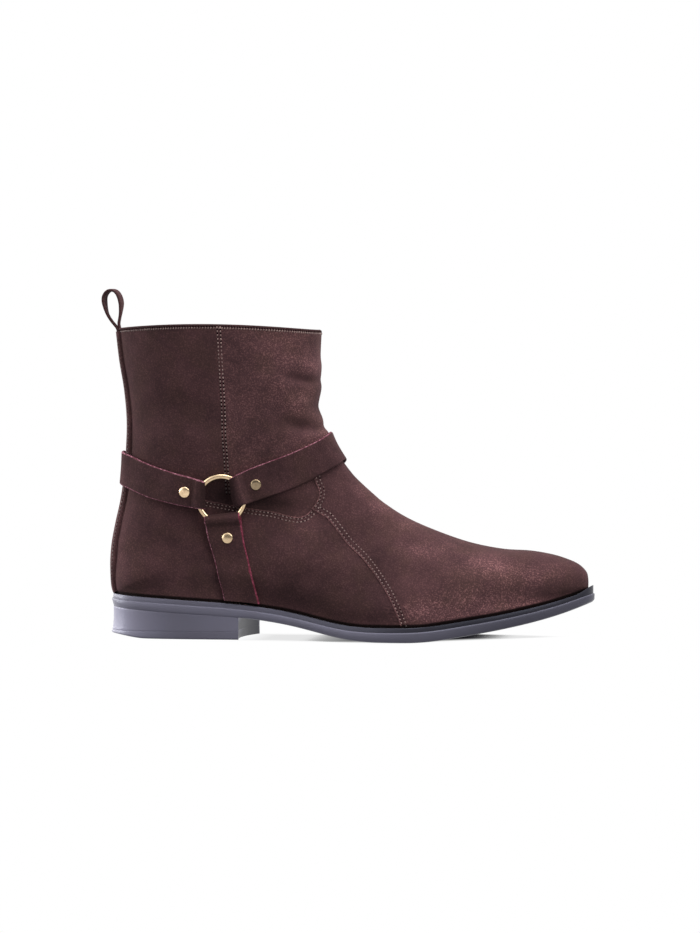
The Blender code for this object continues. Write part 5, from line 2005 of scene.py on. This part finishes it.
def heel_ring(margin, back, height, *level):
    """Edge of the heel from its outer front corner round the bulging back, then along the hollow breast."""
    corners = [math.acos(1 - 2 * front / SOLE_LENGTH) / math.pi for front in HEEL_CORNERS]
    turns = np.mod(np.linspace(corners[0], -corners[1], HEEL_STATIONS), 2.0)
    x, y = outline(turns, lambda at: margin - back * bulge(at))
    across = np.linspace(0.0, 1.0, BREAST_STATIONS)[1:-1]
    breast_y = y[-1] + (y[0] - y[-1]) * across
    breast_x = x[-1] + (x[0] - x[-1]) * across - BREAST_HOLLOW * 4 * across * (1 - across)
    x = np.concatenate([x, breast_x])
    return np.stack([x, np.concatenate([y, breast_y]), height(x, *level)], axis=-1)


def heel_tones(rings):
    """Tone of the heel's rubber: a painted highlight at its back, and on its breast painted shade with a
    painted highlight under the waist at the outer side, less below.
    """
    tones = []
    for ring in rings:
        tone = smooth(*HEEL_TONE.T, ring[:, 0])
        across = np.linspace(1.0, 0.0, len(ring) - HEEL_STATIONS)
        down = 1 - ring[HEEL_STATIONS:, 2] / rings[0][HEEL_STATIONS:, 2]
        lit = BREAST_LIT * ease(*BREAST_LIT_RUN, BREAST_LIT_ACROSS * across + BREAST_LIT_DOWN * down)
        level = 1.1 + lit - BREAST_FALL_ACROSS * across - BREAST_FALL_DOWN * down
        tone[HEEL_STATIONS:] *= BREAST_TONE * level
        tones.append(tone)
    return np.concatenate(tones)


class BOOT_OT_sole(bpy.types.Operator):
    """Welt, outsole, heel and top lift of satin rubber"""

    bl_idname = "boot.sole"
    bl_label = "Sole and heel"

    def execute(self, context):
        welt = sole_plate("welt_rubber", [
            (inside_welt(LIP_WIDTH + 1.4), rim_z),
            (inside_welt(LIP_WIDTH + 0.2), lambda x: (rim_z(x) + lip_z(x)) / 2),
            (inside_welt(1.6), lip_z),
            (inside_welt(1.2), over(lip_z, -0.1)),
            (inside_welt(WELT_SET_BACK), over(lip_z, -0.5)),
            (inside_welt(WELT_SET_BACK), welt_low_z),
            (inside_welt(2.0), over(welt_low_z, -0.03)),
        ], WELT_TONE)
        hand_over(welt, "sole_rubber", "welt")
        outsole = sole_plate("outsole_rubber", [
            (2.2, over(welt_low_z, -0.05)),
            (inside_welt(1.1), over(welt_low_z, -0.05)),
            (inside_welt(0.75), over(welt_low_z, -0.15)),
            (inside_welt(0.3), over(welt_low_z, -0.55)),
            (inside_welt(0.15), over(welt_low_z, -0.95)),
            *(tread_level(*level) for level in TREAD_EDGE),
        ], OUTSOLE_TONE, ribbed=True, ledge=(1, 2))
        hand_over(outsole, "sole_rubber", "outsole")
        rings = [heel_ring(margin, back, heel_z, share) for margin, back, share in HEEL_LEVELS]
        hand_over(stacked("heel_rubber", rings, heel_cap, heel_tones(rings)), "sole_rubber", "heel")
        rings = [heel_ring(margin, LIFT_BULGE, lift_side_z, *level) for margin, *level in LIFT_LEVELS]
        lift = stacked("top_lift_rubber", rings, heel_cap, LIFT_TONE * heel_tones(rings), ribbed=True)
        hand_over(lift, "sole_rubber", "top_lift")
        return {"FINISHED"}


def aim(obj, target):
    """Turns a lamp or the camera towards a target."""
    obj.rotation_euler = (Vector(target) - obj.location).to_track_quat("-Z", "Y").to_euler()


def softbox(name, place_at, size, power):
    """White area light aimed at the boot."""
    light = bpy.data.lights.new(name, "AREA")
    light.shape = "RECTANGLE"
    light.size, light.size_y = size
    light.energy = power
    made = bpy.data.objects.new(name, light)
    bpy.context.scene.collection.objects.link(made)
    made.location = place_at
    aim(made, LIGHT_TARGET)


class BOOT_OT_stage(bpy.types.Operator):
    """Pale floor, soft studio light and the camera"""

    bl_idname = "boot.stage"
    bl_label = "Stage"

    def execute(self, context):
        scene = context.scene
        mesh = bpy.data.meshes.new("floor")
        corners = ((-1, -1), (1, -1), (1, 1), (-1, 1))
        corners = [(x * FLOOR_HALF, y * FLOOR_HALF, -FLOOR_DROP) for x, y in corners]
        mesh.from_pydata(corners, [], [(0, 1, 2, 3)])
        floor = bpy.data.objects.new("floor", mesh)
        scene.collection.objects.link(floor)
        mesh.materials.append(paper_material())
        floor.visible_diffuse = False
        for lamp in SOFTBOXES:
            softbox(*lamp)
        world = bpy.data.worlds.new("studio")
        world.use_nodes = True
        scene.world = world
        sky(world.node_tree)
        lens = bpy.data.cameras.new("camera")
        camera = bpy.data.objects.new("camera", lens)
        scene.collection.objects.link(camera)
        lens.sensor_fit = "VERTICAL"
        lens.sensor_height = 36.0
        lens.lens = CAMERA_LENS
        lens.clip_end = 50.0
        turn = math.radians(CAMERA_AZIMUTH)
        camera.location = (
            CAMERA_CENTRE[0] + CAMERA_DISTANCE * math.sin(turn),
            -CAMERA_DISTANCE * math.cos(turn),
            CAMERA_HEIGHT,
        )
        aim(camera, (CAMERA_CENTRE[0], 0.0, CAMERA_CENTRE[1]))
        scene.camera = camera
        scene.view_settings.view_transform = "Standard"
        return {"FINISHED"}


def openness(tree, reach_mm):
    """How open the floor is to its surroundings within a reach."""
    return add_node(tree, "ShaderNodeAmbientOcclusion", {"Distance": reach_mm * MM}).outputs["AO"]


# White paper sweep that glows bright and even, with a painted cold shadow from its openness, only under the
# waist and the toe. Round the heel and ahead of the sole's outer edge the painted shadow is lifted out to
# white.
def paper_material():
    made, tree, shader = new_material(
        "matt white paper", Roughness=1.0, Specular_IOR_Level=0.0, Base_Color=opaque((0.0, 0.0, 0.0)),
        Emission_Strength=1.0,
    )
    part = add_node(tree, "ShaderNodeSeparateXYZ", {0: own_place(tree)})
    x, y = part.outputs["X"], part.outputs["Y"]
    soft = {"interpolation_type": "SMOOTHSTEP"}
    contact = spread(tree, openness(tree, CONTACT_REACH), 0.10, 0.46, **soft)
    wide = spread(tree, openness(tree, WIDE_REACH), 0.15, 0.62, least=0.78, **soft)
    heel = spread(tree, x, 0.13, 0.04)
    slope, start, lowest = FLOOR_EDGE
    outer_edge = reckon(tree, "MAXIMUM", reckon(tree, "MULTIPLY_ADD", x, slope, start), lowest)
    ahead = spread(tree, reckon(tree, "SUBTRACT", y, outer_edge), 0.022, -0.008, **soft)
    lit_out = reckon(tree, "MAXIMUM", ahead, heel)
    light = reckon(tree, "MAXIMUM", reckon(tree, "MULTIPLY", contact, wide), lit_out)
    colour = blend(tree, light, to_linear("#17161c"), (1.0, 1.0, 1.0))
    tree.links.new(colour, shader.inputs["Emission Color"])
    return made


def backdrop(tree, colour, strength):
    """Light of one colour from all round."""
    return add_node(tree, "ShaderNodeBackground", {"Color": opaque(colour), "Strength": strength}).outputs[0]


def sky(tree):
    """Studio room: white behind the boot, light mostly from above, and panels for the gloss."""
    tree.nodes.clear()
    where = add_node(tree, "ShaderNodeTexCoord").outputs["Generated"]
    part = add_node(tree, "ShaderNodeSeparateXYZ", {0: where})
    up = spread(tree, part.outputs["Z"], -0.3, 0.9, SKY_LOW, SKY_HIGH)
    behind = spread(tree, part.outputs["Y"], 0.0, 0.35, most=SKY_BEHIND)
    room = backdrop(tree, to_linear("#f7f6fb"), reckon(tree, "MAXIMUM", up, behind))
    above = spread(tree, part.outputs["Z"], 0.12, 0.5, GLOSS_FRONT, GLOSS_TOP)
    left = spread(tree, part.outputs["X"], -0.2, -0.7, most=GLOSS_LEFT)
    shine = reckon(tree, "MAXIMUM", above, reckon(tree, "MAXIMUM", left, behind))
    panels = backdrop(tree, (1.0, 1.0, 1.0), shine)
    white = backdrop(tree, (1.0, 1.0, 1.0), 1.0)
    path = add_node(tree, "ShaderNodeLightPath")
    lit = add_node(tree, "ShaderNodeMixShader", {0: path.outputs["Is Glossy Ray"], 1: room, 2: panels})
    seen = add_node(tree, "ShaderNodeMixShader", {
        0: path.outputs["Is Camera Ray"], 1: lit.outputs[0], 2: white,
    })
    add_node(tree, "ShaderNodeOutputWorld", {"Surface": seen.outputs[0]})


STEPS = (
    BOOT_OT_stage, BOOT_OT_sole, BOOT_OT_upper, BOOT_OT_panel_edges, BOOT_OT_lining,
    BOOT_OT_stay_and_loop, BOOT_OT_straps, BOOT_OT_rings, BOOT_OT_rivets, BOOT_OT_stitches,
)


class BOOT_PT_panel(bpy.types.Panel):
    """Sizes, colours and pieces of the boot"""

    bl_idname = "BOOT_PT_panel"
    bl_label = "Harness boot"
    bl_space_type = "VIEW_3D"
    bl_region_type = "UI"
    bl_category = "Boot"

    def draw(self, context):
        layout = self.layout
        for group in (context.scene.boot_sizes, context.scene.boot_colours):
            box = layout.box()
            for key in group.bl_rna.properties.keys():
                if key not in ("rna_type", "name"):
                    box.prop(group, key)
        for step in STEPS:
            layout.operator(step.bl_idname)


CLASSES = (BootSizes, BootColours, *STEPS, BOOT_PT_panel)


def register():
    for kind in CLASSES:
        bpy.utils.register_class(kind)
    bpy.types.Scene.boot_sizes = bpy.props.PointerProperty(type=BootSizes)
    bpy.types.Scene.boot_colours = bpy.props.PointerProperty(type=BootColours)


def unregister():
    del bpy.types.Scene.boot_colours
    del bpy.types.Scene.boot_sizes
    for kind in reversed(CLASSES):
        bpy.utils.unregister_class(kind)


def main():
    register()
    bpy.ops.boot.stage()
    bpy.ops.boot.sole()
    bpy.ops.boot.upper()
    bpy.ops.boot.panel_edges()
    bpy.ops.boot.lining()
    bpy.ops.boot.stay_and_loop()
    bpy.ops.boot.straps()
    bpy.ops.boot.rings()
    bpy.ops.boot.rivets()
    bpy.ops.boot.stitches()


if __name__ == "__main__":
    main()
